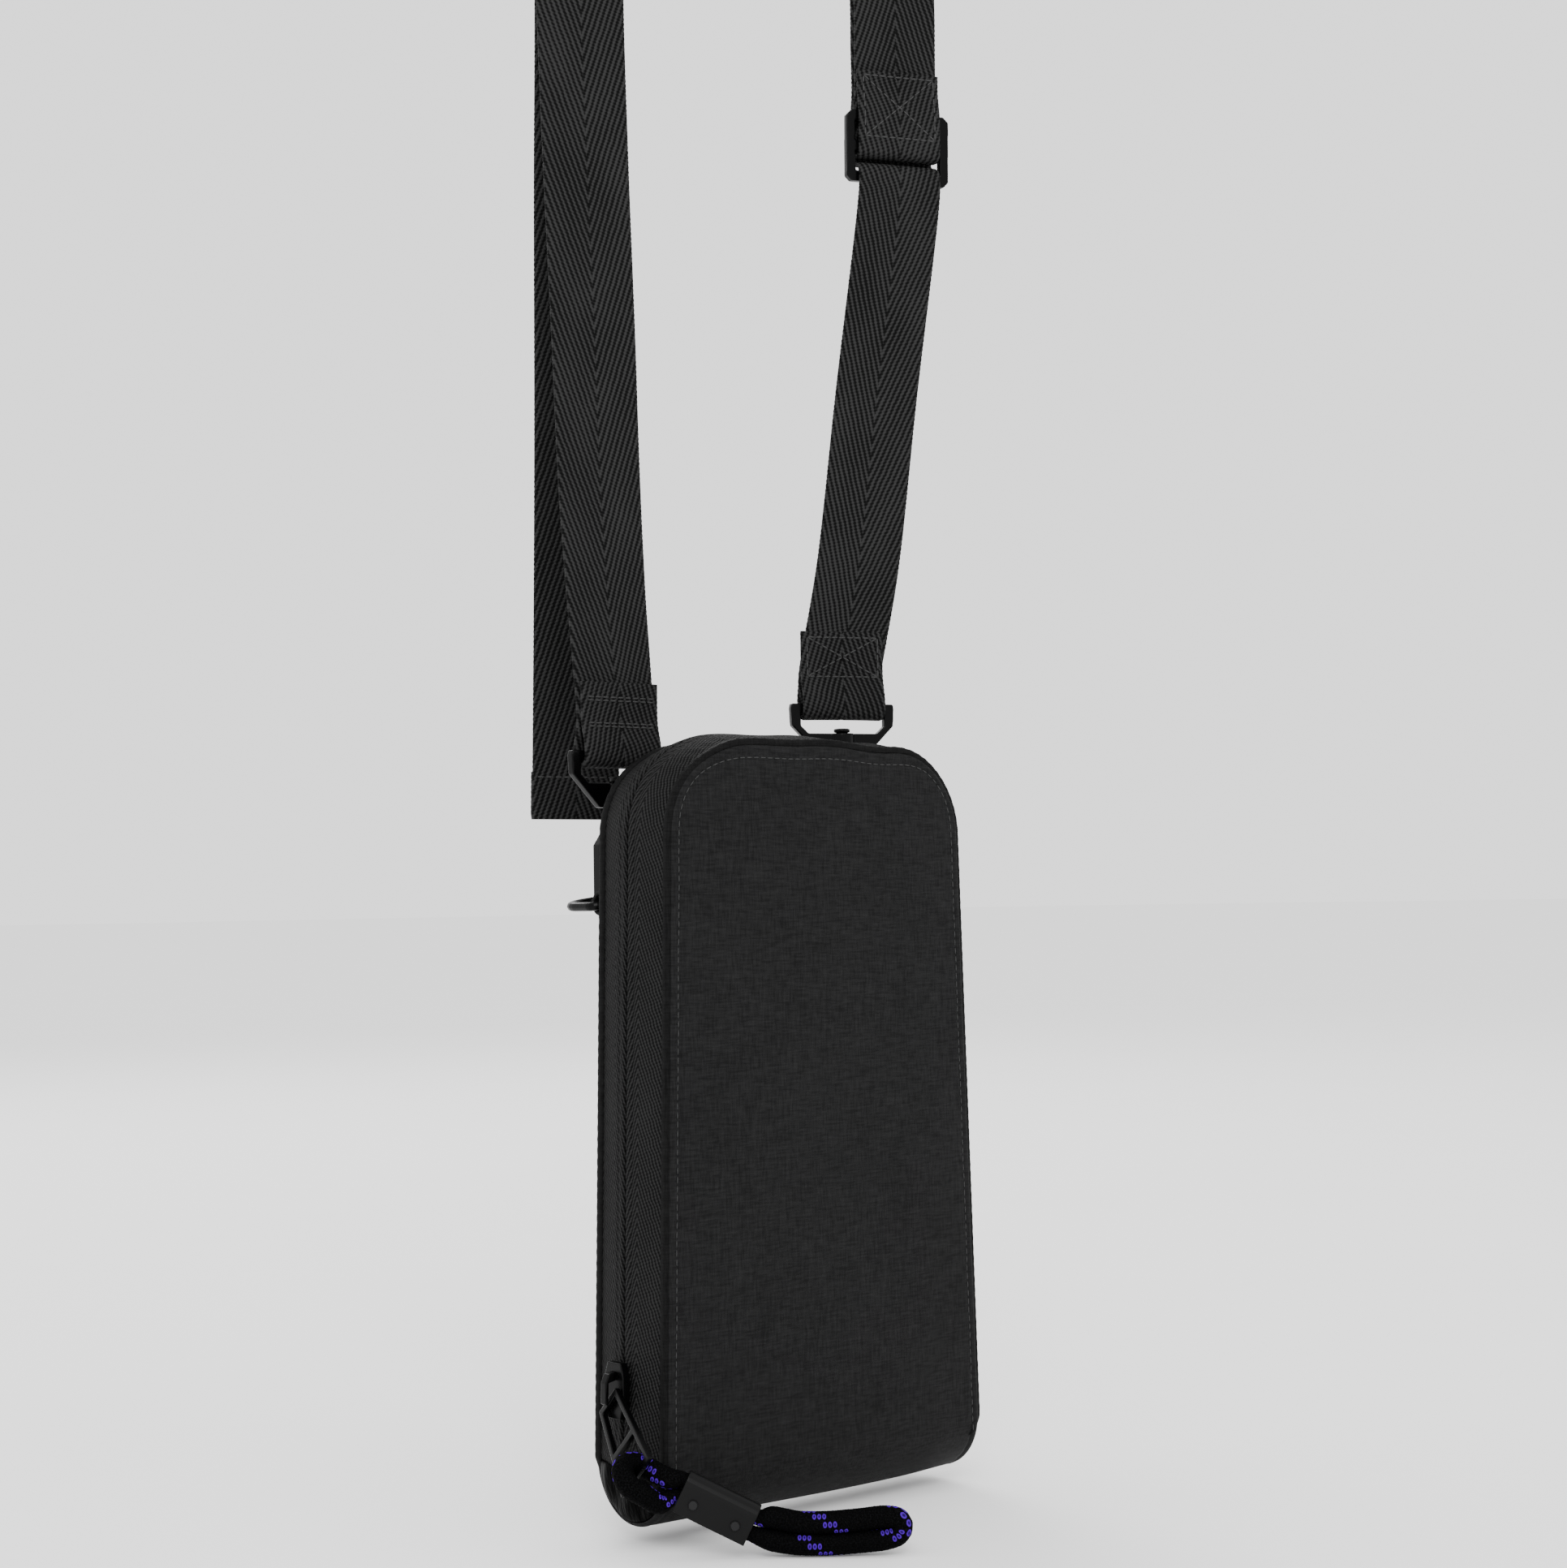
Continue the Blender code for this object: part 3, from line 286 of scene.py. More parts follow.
def put(tree, slot_in, value):
    if value is None:
        return
    if isinstance(value, Socket):
        tree.links.new(value.socket, slot_in)
    elif isinstance(value, tuple) and slot_in.type == "RGBA" and len(value) == 3:
        slot_in.default_value = (*value, 1.0)
    else:
        slot_in.default_value = value


def add_node(tree, kind, settings=None, out=0, **inputs):
    """Any node: settings are set first, then inputs by name, an underscore for each space."""
    made = tree.nodes.new(kind)
    for key, value in (settings or {}).items():
        setattr(made, key, value)
    for key, value in inputs.items():
        name = key.replace("_", " ")
        by_number = name[0] == "i" and name[1:].isdigit()
        slot_in = made.inputs[int(name[1:]) if by_number else name]
        put(tree, slot_in, value)
    return Socket(tree, made.outputs[out])


class Finish:
    """A material being built: its tree, its shader, and where its patterns are read from."""

    def __init__(self, name, **constants):
        self.material = bpy.data.materials.new(name)
        self.material.use_nodes = True
        self.tree = self.material.node_tree
        self.shader = self.tree.nodes["Principled BSDF"]
        for key, value in constants.items():
            put(self.tree, self.shader.inputs[key.replace("_", " ")], value)

    def node(self, kind, settings=None, out=0, **inputs):
        return add_node(self.tree, kind, settings, out, **inputs)

    def place(self, source="Object"):
        """The piece's own coordinates: object space in metres, or its UV map in millimetres."""
        outputs = {"Object": 3, "UV": 2}
        return self.node("ShaderNodeTexCoord", out=outputs[source])

    def split(self, vector):
        parts = self.node("ShaderNodeSeparateXYZ", Vector=vector).socket.node
        return [Socket(self.tree, parts.outputs[k]) for k in range(3)]

    def join(self, x, y, z=0.0):
        return self.node("ShaderNodeCombineXYZ", X=x, Y=y, Z=z)

    def noise(self, vector, scale, detail=3.0, roughness=0.55):
        settings = {"Vector": vector, "Scale": scale, "Detail": detail, "Roughness": roughness}
        return self.node("ShaderNodeTexNoise", **settings)

    def mix(self, factor, a, b):
        """Two colours mixed by a factor."""
        made = self.tree.nodes.new("ShaderNodeMix")
        made.data_type = "RGBA"
        for index, value in ((0, factor), (6, a), (7, b)):
            put(self.tree, made.inputs[index], value)
        return Socket(self.tree, made.outputs[2])

    def feed(self, **links):
        for key, value in links.items():
            put(self.tree, self.shader.inputs[key.replace("_", " ")], value)
        return self

    def bump(self, height, distance, strength=1.0):
        made = self.node("ShaderNodeBump", Height=height, Distance=distance, Strength=strength)
        put(self.tree, self.shader.inputs["Normal"], made)
        return self


TURN = 2 * math.pi
print("shader helpers ready")

# %% [markdown]
# ## Finishes
#
# The face is a coated plain weave: nearly flat charcoal, broken by threads that are a little
# thicker in places, so the mottling runs in short dashes both ways. Two noises, each stretched
# along one thread direction, give those dashes, and a fine grid of sines gives the threads.


# %% Coated cloth
def coated_cloth(name, dark, light, roughness, thread=0.00042):
    finish = Finish(name, Roughness=roughness, Specular_IOR_Level=0.08)
    x, y, z = finish.split(finish.place())
    warp = finish.noise(finish.join(x * 2300.0, y * 2300.0, z * 260.0), 1.0, 2.0)
    weft = finish.noise(finish.join(x * 260.0, y * 260.0, z * 2300.0), 1.0, 2.0)
    cloudy = finish.noise(finish.join(x * 60.0, y * 60.0, z * 60.0), 1.0, 2.0)
    k = TURN / thread
    grid = (x + y).math("MULTIPLY", k).math("SINE") * (z * k).math("SINE")
    mottle = (warp + weft) * 0.5
    slub = warp.smooth(0.5, 0.72) + weft.smooth(0.5, 0.72)
    thin = warp.smooth(0.50, 0.30) + weft.smooth(0.50, 0.30)
    shade = slub * 0.30 - thin * 0.34 + cloudy * 0.30 + grid * 0.04 + 0.28
    finish.feed(Base_Color=finish.mix(shade, dark, light))
    finish.feed(Roughness=roughness - mottle * 0.12)
    return finish.bump(mottle * 0.6 + grid * 0.3, 0.00006, 0.8)


SHELL = coated_cloth("charcoal_coated_cloth", (0.0028, 0.0028, 0.0029), (0.0108, 0.0108, 0.0110), 0.70)
# The binding is the shell cloth made several times darker: painted shade for the seam between the zip
# tape and the face.
BINDING_PAINTED_SHADE = coated_cloth("binding_painted_shade", (0.0006, 0.0006, 0.0006), (0.0050, 0.0050, 0.0050), 0.75)
LINING = coated_cloth("grey_lining_cloth", (0.020, 0.021, 0.024), (0.038, 0.039, 0.044), 0.85, 0.0003)
print("cloth finishes:", SHELL.material.name, LINING.material.name)

# %% [markdown]
# Zip tape and webbing are twills: each rib climbs at an angle, and turns back at each chevron.
# A ping-pong of the distance across the band bends the coordinate along it, and a sine of the
# sum is the rib. Fine columns across the ribs break them into single threads.


# %% Herringbone
def herringbone(name, rib, steep, apex, cross, dark, light, depth):
    """Ribs rib millimetres apart along the band, rising steeply to an apex line."""
    finish = Finish(name, Roughness=0.78, Specular_IOR_Level=0.08)
    across, along, _ = finish.split(finish.place("UV"))
    wobble = finish.noise(finish.join(across * 0.25, along * 0.25), 1.0, 2.0) * (rib * 0.35)
    climb = (across - apex).math("ABSOLUTE") * steep
    rib_wave = ((along + climb + wobble) * (TURN / rib)).math("SINE") * 0.5 + 0.5
    stitch = ((along + (across * 0.35)) * (TURN / cross)).math("SINE") * 0.5 + 0.5
    fuzz = finish.noise(finish.join(across * 2.4, along * 1.6), 1.0, 3.0)
    worn = finish.noise(finish.join(across * 0.06, along * 0.03), 1.0, 2.0)
    relief_in = rib_wave * 0.62 + stitch * 0.28 + fuzz * 0.4
    # The colour follows the rib relief: the crests get a painted highlight and the gaps between them a
    # painted shade, and the slow noise adds uneven wear.
    shade = (relief_in * 0.8 + worn * 0.35 - 0.2).smooth(0.24, 0.78)
    finish.feed(Base_Color=finish.mix(shade, dark, light))
    return finish.bump(relief_in, depth)


# The dark colour is the black yarn with painted shade in the gaps; the light one is the painted
# highlight on the rib crests.
BLACK_YARN_AND_GAP_SHADE = (0.0005, 0.0005, 0.0005)
TAPE = herringbone("zip_tape_twill", 2.5, 2.4, 8.6, 0.9, BLACK_YARN_AND_GAP_SHADE, (0.0175, 0.0175, 0.0175), 0.0004)
WEBBING = herringbone("strap_webbing", 4.6, -2.9, 0.0, 0.95, BLACK_YARN_AND_GAP_SHADE, (0.023, 0.023, 0.023), 0.0004)
print("woven bands:", TAPE.material.name, WEBBING.material.name)

# %% [markdown]
# Metal pieces are lacquered black: a very dark base, a clear coat, and roughness that varies a
# little where hands have touched it. The clamp is the same metal with a satin finish, and the
# rivets are worn to a lighter grey.


# %% Lacquered metal
def lacquer(name, colour, roughness, coat, metallic=0.0):
    """Dark paint over metal: a slow noise wears its gloss and a fine one scuffs it."""
    finish = Finish(
        name,
        Base_Color=colour,
        Metallic=metallic,
        Coat_Weight=coat,
        Coat_Roughness=0.12,
        Specular_IOR_Level=0.07,
    )
    x, y, z = finish.split(finish.place())
    worn = finish.noise(finish.join(x * 180.0, y * 180.0, z * 180.0), 1.0, 3.0)
    scuff = finish.noise(finish.join(x * 2200.0, y * 2200.0, z * 700.0), 1.0, 2.0)
    finish.feed(Roughness=roughness + worn * 0.14 + scuff * 0.06 - 0.08)
    return finish.bump(scuff * 0.5 + worn, 0.00003, 0.6)


BLACK = lacquer("black_lacquer", (0.0008, 0.0008, 0.0009), 0.26, 0.03)
SATIN = lacquer("satin_lacquer", (0.0050, 0.0050, 0.0051), 0.32, 0.02)
RIVET = lacquer("worn_rivet", (0.016, 0.016, 0.0165), 0.40, 0.0, 0.3)
print("metal finishes ready")


# %% [markdown]
# The end tabs are coated cloth, smooth and slightly creased. The seams are twisted thread, and
# one sine of the summed coordinates gives its slanted ripple.


# %% Coated end tab and thread
def coated_tab():
    """Smooth coated cloth with soft creases: stretched noise in the bump and the gloss."""
    finish = Finish("glossy_coated_tab", Base_Color=(0.0004, 0.0004, 0.0004), Specular_IOR_Level=0.015)
    x, y, z = finish.split(finish.place())
    crease = finish.noise(finish.join(x * 150.0, y * 260.0, z * 90.0), 1.0, 3.0)
    finish.feed(Roughness=crease * 0.25 + 0.25)
    return finish.bump(crease, 0.0012, 0.8)


def thread(name, colour):
    """Twisted yarn: a slanted ripple over each stitch."""
    finish = Finish(name, Base_Color=colour, Roughness=0.7, Specular_IOR_Level=0.2)
    x, y, z = finish.split(finish.place())
    return finish.bump(((x + y + z) * (TURN / 0.0004)).math("SINE"), 0.00005)


TAB = coated_tab()
GREY_THREAD = thread("grey_thread", (0.034, 0.034, 0.034))
print("small finishes ready")


# %% [markdown]
# The cord's braid is real relief, made with its mesh. Its colour is black with short violet
# stitches: one coloured yarn climbs round the cord and shows three times in each column. In UV
# space that is eight columns round the cord, each shifted a little further along.

# %% Braid
FLECK_COLUMNS = 8
FLECK_PITCH = 21.0


def braid():
    finish = Finish("flecked_braid", Roughness=0.75, Specular_IOR_Level=0.02)
    round_way, along, _ = finish.split(finish.place("UV"))
    column = round_way * float(FLECK_COLUMNS)
    index = (column + 0.5).math("FLOOR")
    side = (column - index) * 2.16
    shifted = along - index * (FLECK_PITCH / FLECK_COLUMNS)
    local = shifted - ((shifted / FLECK_PITCH) + 0.5).math("FLOOR") * FLECK_PITCH
    nearest = ((local / 1.25) + 0.5).math("FLOOR").math("MAXIMUM", -1.0).math("MINIMUM", 1.0)
    end = local - nearest * 1.25
    oval = (side / 0.80) ** 2.0 + (end / 0.50) ** 2.0
    inside = 1.0 - oval.smooth(0.75, 1.05)
    core = 1.0 - oval.smooth(0.05, 0.45)
    violet = finish.mix(core, (0.058, 0.005, 0.30), (0.012, 0.002, 0.06))
    fuzz = finish.noise(finish.join(round_way * 60.0, along * 3.0), 1.0, 2.0)
    yarn = finish.mix(fuzz.smooth(0.4, 0.7), (0.0002, 0.0002, 0.0002), (0.0040, 0.0040, 0.0044))
    finish.feed(Base_Color=finish.mix(inside, yarn, violet))
    return finish.bump(fuzz, 0.00008)


BRAID = braid()
print("braid ready")

# %% [markdown]
# ## The rim
#
# Everything round the edge follows one line: up the slanted left side, round the corner, over
# the top and down the right. A piece beside it stands some inset inside the line, so a point
# is the edge point less the outward normal times the inset.


# %% The rim line
def rim(low, step=0.0008):
    """Edge points, outward normals and the distance along, from left over the top to right."""
    angles = np.linspace(math.pi / 2, SLANT, 40)
    corner = np.stack([CORNER_X + CORNER * np.cos(angles), CORNER_Z + CORNER * np.sin(angles)], -1)
    right = np.vstack([[[0.0, HEIGHT]], corner, [[half_width(low), low]]])
    line = np.vstack([right[:0:-1] * (-1, 1), right])
    spots, line = evenly(line, step)
    way = unit(np.gradient(line, axis=0))
    normals = np.stack([-way[:, 1], way[:, 0]], -1)
    return spots, line, normals


def wave(x, z):
    """How far soft cloth at the top edge rises: two slow waves that fade out below."""
    share = np.clip((z - 0.165) / 0.035, 0, 1) ** 2
    return share * (0.0006 * np.sin(x * 95.0 + 2.2) + 0.0003 * np.sin(x * 210.0 + 0.4))


def beside_rim(line, normals, y, inset):
    """Points in the pouch's frame, at a depth y and an inset from the edge line."""
    flat = line[:, None, :] - normals[:, None, :] * inset[..., None]
    points = np.stack(np.broadcast_arrays(flat[..., 0], y, flat[..., 1]), -1)
    points[..., 2] += wave(points[..., 0], points[..., 2])
    return points


TAPE_EDGE, TAPE_BULGE = 0.0125, 0.0020


def bulge(y):
    """The tape's inset at a depth y: it swells past the panel's edge towards the zip line."""
    return -TAPE_BULGE + (TAPE_BULGE + 0.0006) * np.minimum(np.abs(y) / TAPE_EDGE, 1.0) ** 1.6


def tuck(points_z):
    """How far a band's low end dives inside the bottom fold: up to 2.6 mm at its very end."""
    return 0.0026 * (1 - np.clip((points_z - 0.0105) / 0.0055, 0, 1)) ** 1.5


def zip_cloth(side, sign, body):
    """Half of the gusset. Its depth bulges, and its last millimetre folds in at the zip."""
    spots, line, normals = rim(0.0105)
    turned = np.linspace(0, math.pi / 2, 7)
    lip_y = 0.0011 - 0.0008 * np.sin(turned)
    lip_inset = bulge(0.0011) + 0.0008 * (1 - np.cos(turned))
    y = np.concatenate([np.linspace(TAPE_EDGE + 0.0008, 0.0014, 26), lip_y, [0.0003]])
    inset = np.concatenate([bulge(y[:26]), lip_inset, [bulge(0.0011) + 0.0018]])
    band = np.exp(-(((y - 0.0095) / 0.0016) ** 2))
    pucker = 0.00016 * np.sin(spots * TURN / 0.0043 + sign)[:, None] * band
    seam = 0.00028 * np.exp(-(((y - 0.0029) / 0.00045) ** 2))
    ends = tuck(line[:, 1])[:, None]
    grid = beside_rim(line, normals, sign * y[None, :], inset[None, :] + pucker + seam + ends)
    across = np.concatenate([[0], np.cumsum(np.hypot(np.diff(y), np.diff(inset)))])
    made = cloth(f"{side}_zip_cloth", grid, across[None, :] / MM, spots[:, None] / MM, 0.0005, sign < 0)
    made.data.materials.append(TAPE.material)
    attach(made, body)
    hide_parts(f"{side}_zip_tape")
    return made


def binding(side, sign, body):
    """A rolled edge: a superellipse carried round the rim, which sinks at the stitches."""
    spots, line, normals = rim(0.0105)
    angle = np.linspace(0, TURN, 20, endpoint=False)
    c, s = np.cos(angle), np.sin(angle)
    y = sign * (FACE - 0.00165 + 0.00125 * np.sign(c) * np.abs(c) ** 0.7)
    inset = 0.0010 - 0.0011 * np.sign(s) * np.abs(s) ** 0.7
    ripple = (0.00006 * np.sin(spots * TURN / 0.0029) + tuck(line[:, 1]))[:, None]
    rings = beside_rim(line, normals, y[None, :], inset[None, :] + ripple)
    made = tube(f"{side}_binding_cord", rings, angle * 1.2, spots / MM)
    # The binding's cloth carries painted shade: it is darkened to stand in for the shade in the seam.
    made.data.materials.append(BINDING_PAINTED_SHADE.material)
    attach(made, body)
    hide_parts(f"{side}_edge_binding")
    return made


BODIES = {"front": "front_cover", "back": "pouch_and_straps"}
for side, sign in (("front", -1), ("back", 1)):
    zip_cloth(side, sign, BODIES[side])
    binding(side, sign, BODIES[side])
print("rim length:", round(float(rim(FOLD)[0][-1]), 4))

# %% [markdown]
# ## The shell
#
# One sheet of cloth makes both faces: it runs down the front, round the bottom and up the back.
# Each row of the grid is one height, and its columns crowd towards the sides, where the edge
# rolls over. The height above the plain face depends on the distance from the nearest edge: a
# quarter round at the edge, a groove at the stitches, and a faint puff in between.


# %% Shell cloth
SIDE_STITCH, TOP_STITCH = 0.0025, 0.0042


def edge_distance(x, z):
    """The distance from a face point to the nearest edge of the outline, round corners and all."""
    side = (half_width(z) - np.abs(x)) * math.cos(SLANT)
    top = HEIGHT - z
    corner = CORNER - np.hypot(np.abs(x) - CORNER_X, z - CORNER_Z)
    in_corner = (np.abs(x) > CORNER_X) & (z > CORNER_Z)
    return np.where(in_corner, corner, np.where(np.abs(x) > CORNER_X, side, np.minimum(side, top)))


def stitch_inset(z):
    """The stitch line's distance from the edge: larger over the top, less at the corners."""
    share = np.clip((z - CORNER_Z) / CORNER, 0, 1) ** 2
    return SIDE_STITCH + (TOP_STITCH - SIDE_STITCH) * share - 0.0011 * 4 * share * (1 - share)


def relief(x, z, far, roll=0.0011):
    """Height above the plain face at a distance from the edge: roll, groove, puckers and puff."""
    d = np.clip(far, 0, None)
    rolled = roll - np.sqrt(np.clip(roll**2 - np.clip(roll - d, 0, roll) ** 2, 0, None))
    near = (d - stitch_inset(z)) / 0.00055
    groove = 0.00022 * np.exp(-(near**2))
    pucker = 0.00005 * np.sin((z + x) * TURN / 0.0029) * np.exp(-((near / 2.6) ** 2))
    puff = 0.0005 * (1 - np.exp(-((d / 0.012) ** 2)))
    slow = 0.00022 * np.sin(x * 62.0 + 0.6) * np.sin(z * 41.0 + 1.0)
    slow = slow + 0.00012 * np.sin(x * 31.0 - z * 77.0)
    return -rolled - groove + pucker + puff + slow * (1 - np.exp(-((d / 0.01) ** 2)))


def shell_cloth(name, sign):
    """Rows down the corner, the side and round the bottom; x = width * sin(pi c / 2) across."""
    angles = np.radians(np.linspace(90, 0, 46))
    angles = angles[angles > SLANT]
    top_z = CORNER_Z + CORNER * np.sin(angles)
    top_w = CORNER_X + CORNER * np.cos(angles)
    fine = np.linspace(0.0215, FACE, 15)
    side_z = np.concatenate([np.linspace(CORNER_Z, 0.0220, 100), fine])
    phi = np.linspace(0, math.pi / 2, 22)[1:]
    z = np.concatenate([top_z, side_z, FACE - FACE * np.sin(phi)])
    w = np.concatenate([top_w, half_width(side_z), np.full(21, half_width(FOLD))])
    w[z < FOLD] = half_width(FOLD)
    tilt = np.concatenate([np.zeros(len(top_z) + len(side_z)), phi])
    c = np.linspace(-1, 1, 161)
    x = w[:, None] * np.sin(math.pi / 2 * c)[None, :] * (1 - 0.0009 / w[:, None])
    rows_z = np.broadcast_to(z[:, None], x.shape)
    far = edge_distance(x, np.maximum(rows_z, FOLD)) - 0.0009
    far = np.where(rows_z < FOLD, w[:, None] - 0.0009 - np.abs(x), far)
    h = relief(x, rows_z, far)
    y = (FACE * np.cos(tilt))[:, None] + h * np.cos(tilt)[:, None]
    z_out = rows_z - h * np.sin(tilt)[:, None]
    z_out = z_out + wave(x, z_out) - 0.0009 * np.clip((rows_z - CORNER_Z) / CORNER, 0, 1) ** 4
    grid = np.stack([x, sign * y, z_out], -1)
    made = cloth(name, grid, x / MM, rows_z / MM, 0.0009, sign < 0)
    made.data.materials.append(SHELL.material)
    return made


front_cloth = shell_cloth("front_cloth", -1)
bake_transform(front_cloth)
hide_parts("front_panel")
back_cloth = shell_cloth("back_cloth", 1)
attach(back_cloth, "pouch_and_straps")
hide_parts("back_panel", "spine_panel")
print("shell cloth points:", len(front_cloth.data.vertices), len(back_cloth.data.vertices))

# %% [markdown]
# ## Stitches
#
# A stitch is a small capsule: a sphere stretched along the seam. All stitches of a seam are one
# mesh. The capsule's points are turned by each stitch's own three directions in one product.


# %% Stitches
def capsules(name, spots, ways, outs, length, radius, finish):
    """One mesh of stretched spheres at spots, their long axis along ways and their round side out."""
    lat = np.linspace(0, math.pi, 6)
    lon = np.linspace(0, TURN, 7, endpoint=False)
    shape = np.stack(
        [
            np.repeat(np.cos(lat), 7) * length / 2,
            np.outer(np.sin(lat), np.cos(lon)).ravel() * radius,
            np.outer(np.sin(lat), np.sin(lon)).ravel() * radius,
        ],
        -1,
    )
    sides = unit(np.cross(outs, ways))
    frames = np.stack([unit(ways), sides, unit(np.cross(unit(ways), sides))], 1)
    points = (shape[None] @ frames + spots[:, None, :]).reshape(-1, 3)
    faces = quads(6, 7, True)
    faces = (faces[None] + (np.arange(len(spots)) * len(shape))[:, None, None]).reshape(-1, 4)
    made = add_mesh(name, points, faces.tolist())
    merge_close(made, radius * 0.01)
    made.data.materials.append(finish.material)
    return made


def merge_close(made, within):
    """Joins points that lie together, such as the poles of a sphere."""
    work = bmesh.new()
    work.from_mesh(made.data)
    bmesh.ops.remove_doubles(work, verts=work.verts, dist=within)
    bmesh.ops.recalc_face_normals(work, faces=work.faces)
    work.to_mesh(made.data)
    work.free()


def panel_seam(name, sign, pitch=0.0023):
    """Stitches along a face, on the line that keeps its inset from the edge."""
    _, line, normals = rim(0.0125, 0.0005)
    inset = stitch_inset(line[:, 1]) + 0.0009
    path = line - normals * inset[:, None]
    y = FACE + relief(path[:, 0], path[:, 1], inset - 0.0009) + 0.00004
    path = np.stack([path[:, 0], sign * y, path[:, 1] + wave(path[:, 0], path[:, 1])], -1)
    _, spots = evenly(path, pitch)
    ways = unit(np.gradient(spots, axis=0))
    jitter = np.sin(np.arange(len(spots)) * 12.9898) * 0.00006
    spots[:, 0] += jitter
    spots[:, 2] += jitter[::-1]
    outs = np.broadcast_to(np.array([0.0, sign, 0.0]), spots.shape)
    made = capsules(name, spots, ways, outs, pitch * 0.78, 0.00016, GREY_THREAD)
    return made


front_seam = panel_seam("front_seam", -1)
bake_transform(front_seam)
back_seam = panel_seam("back_seam", 1)
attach(back_seam, "pouch_and_straps")
print("stitches made")

# %% [markdown]
# ## Back pocket, linings and inner pockets
#
# These are flat sheets with slow, shallow waves. Each sits exactly where its plain solid was,
# read from the frame, and a pocket's top edge has a folded hem that stands a little proud.


# %% Flat cloth
body_of = {}
for joint_body, nodes_in in frame["record"]["behaviour"]["bodies"].items():
    body_of.update(dict.fromkeys(nodes_in, joint_body))


def flat_cloth(name, node, sign, inset, top, finish, hem=0.0, thickness=0.0005, corner=False):
    """A sheet over the pouch's outline at the node's outer face, from its lowest line up to a top."""
    low_box, high_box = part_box(node)
    low = low_box.z - ORIGIN[2]
    face = (high_box.y if sign > 0 else low_box.y) - ORIGIN[1]
    rows = np.linspace(0, 1, 90)
    z = low + (top - low) * rows
    in_corner = np.sqrt(np.clip(CORNER**2 - np.clip(z + inset - CORNER_Z, 0, CORNER) ** 2, 0, None))
    w = np.where(z > CORNER_Z - inset, CORNER_X + in_corner, half_width(z)) if corner else half_width(z)
    w = np.minimum(w, half_width(z)) - inset
    c = np.linspace(-1, 1, 91)
    x = w[:, None] * c[None, :]
    zz = np.broadcast_to(z[:, None], x.shape)
    edge = np.minimum(np.minimum(w[:, None] - np.abs(x), top - zz), zz - low + 0.004)
    free = 1 - np.exp(-((np.clip(edge, 0, None) / 0.008) ** 2))
    h = 0.00012 * np.sin(x * 90 + 1) * np.sin(zz * 60) * free
    if hem:
        below = top - zz
        h = h + 0.00025 * np.exp(-(((below - hem / 2) / (hem * 0.35)) ** 2))
        h = h - 0.00015 * np.exp(-(((below - hem) / 0.0005) ** 2))
    grid = np.stack([x, face + sign * h, zz], -1)
    made = cloth(name, grid, x / MM, zz / MM, thickness, sign > 0)
    made.data.materials.append(finish.material)
    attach(made, body_of[node])
    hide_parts(node)
    return made, face


pocket, pocket_face = flat_cloth(
    "back_pocket_cloth", "back_slip_pocket", 1, 0.003, 0.151, SHELL, 0.004, 0.0009
)
for side, sign in (("front", 1), ("back", -1)):
    name, node = f"{side}_lining_cloth", f"{side}_lining"
    top = HEIGHT - 0.0018
    flat_cloth(name, node, sign, 0.0016, top, LINING, corner=True)
flat_cloth("inner_pocket_cloth", "inner_slip_pocket", 1, 0.003, 0.120, LINING, 0.004)


def card_cloth(index):
    """A card slot: a straight-sided sheet with a hem, on its solid's inner face."""
    node = f"card_slot_{index}"
    low_box, high_box = (np.array(p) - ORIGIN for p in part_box(node))
    z = np.linspace(low_box[2], high_box[2], 70)
    x = np.linspace(low_box[0], high_box[0], 81)
    below = high_box[2] - z[:, None]
    h = 0.00022 * np.exp(-(((below - 0.002) / 0.0014) ** 2)) + 0.00008 * np.sin(x * 95)[None, :]
    xx, zz = np.broadcast_arrays(x[None, :], z[:, None])
    grid = np.stack([xx, low_box[1] - h, zz], -1)
    made = cloth(f"card_cloth_{index}", grid, xx / MM, zz / MM, 0.0005)
    made.data.materials.append(LINING.material)
    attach(made, "pouch_and_straps")
    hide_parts(node)


for index in (1, 2, 3):
    card_cloth(index)
across = np.arange(-0.046, 0.0461, 0.0029)
HEM_SEAM_Z, SEAM_PROUD = 0.147, 0.00012
hem_spots = np.full((len(across), 3), (0.0, pocket_face + SEAM_PROUD, HEM_SEAM_Z))
hem_spots[:, 0] = across
hem_ways = np.broadcast_to(np.array([1.0, 0.0, 0.0]), hem_spots.shape)
hem_outs = np.broadcast_to(np.array([0.0, 1.0, 0.0]), hem_spots.shape)
hem = capsules("pocket_hem_stitches", hem_spots, hem_ways, hem_outs, 0.0023, 0.00019, GREY_THREAD)
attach(hem, "pouch_and_straps")
print("inner cloth ready")


# %% [markdown]
# ## Closing the bottom
#
# The lining goes round the bottom as a half circle carried across the pouch. Each open end is
# shut by a half disc: its rim meets the cloth, and a crown lifts its middle.


# %% Bottom lining and end caps
def trough():
    """The lining round the bottom: a half circle carried across the pouch."""
    low_box, high_box = (np.array(p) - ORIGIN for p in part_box("spine_lining"))
    radius = (high_box[1] - low_box[1]) / 2 - 0.0006
    angle = np.linspace(0, math.pi, 30)
    y = np.concatenate([[-radius], -radius * np.cos(angle), [radius]])
    z = np.concatenate([[high_box[2]], FACE - radius * np.sin(angle), [high_box[2]]])
    x = np.linspace(low_box[0], high_box[0], 60)
    along = lengths_along(np.stack([y, z], -1))
    xx, yy = np.broadcast_arrays(x[None, :], y[:, None])
    zz = np.broadcast_to(z[:, None], xx.shape)
    grid = np.stack([xx, yy, zz], -1)
    made = cloth("bottom_lining_cloth", grid, xx / MM, along[:, None] / MM, 0.0005)
    made.data.materials.append(LINING.material)
    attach(made, "pouch_and_straps")
    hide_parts("spine_lining")


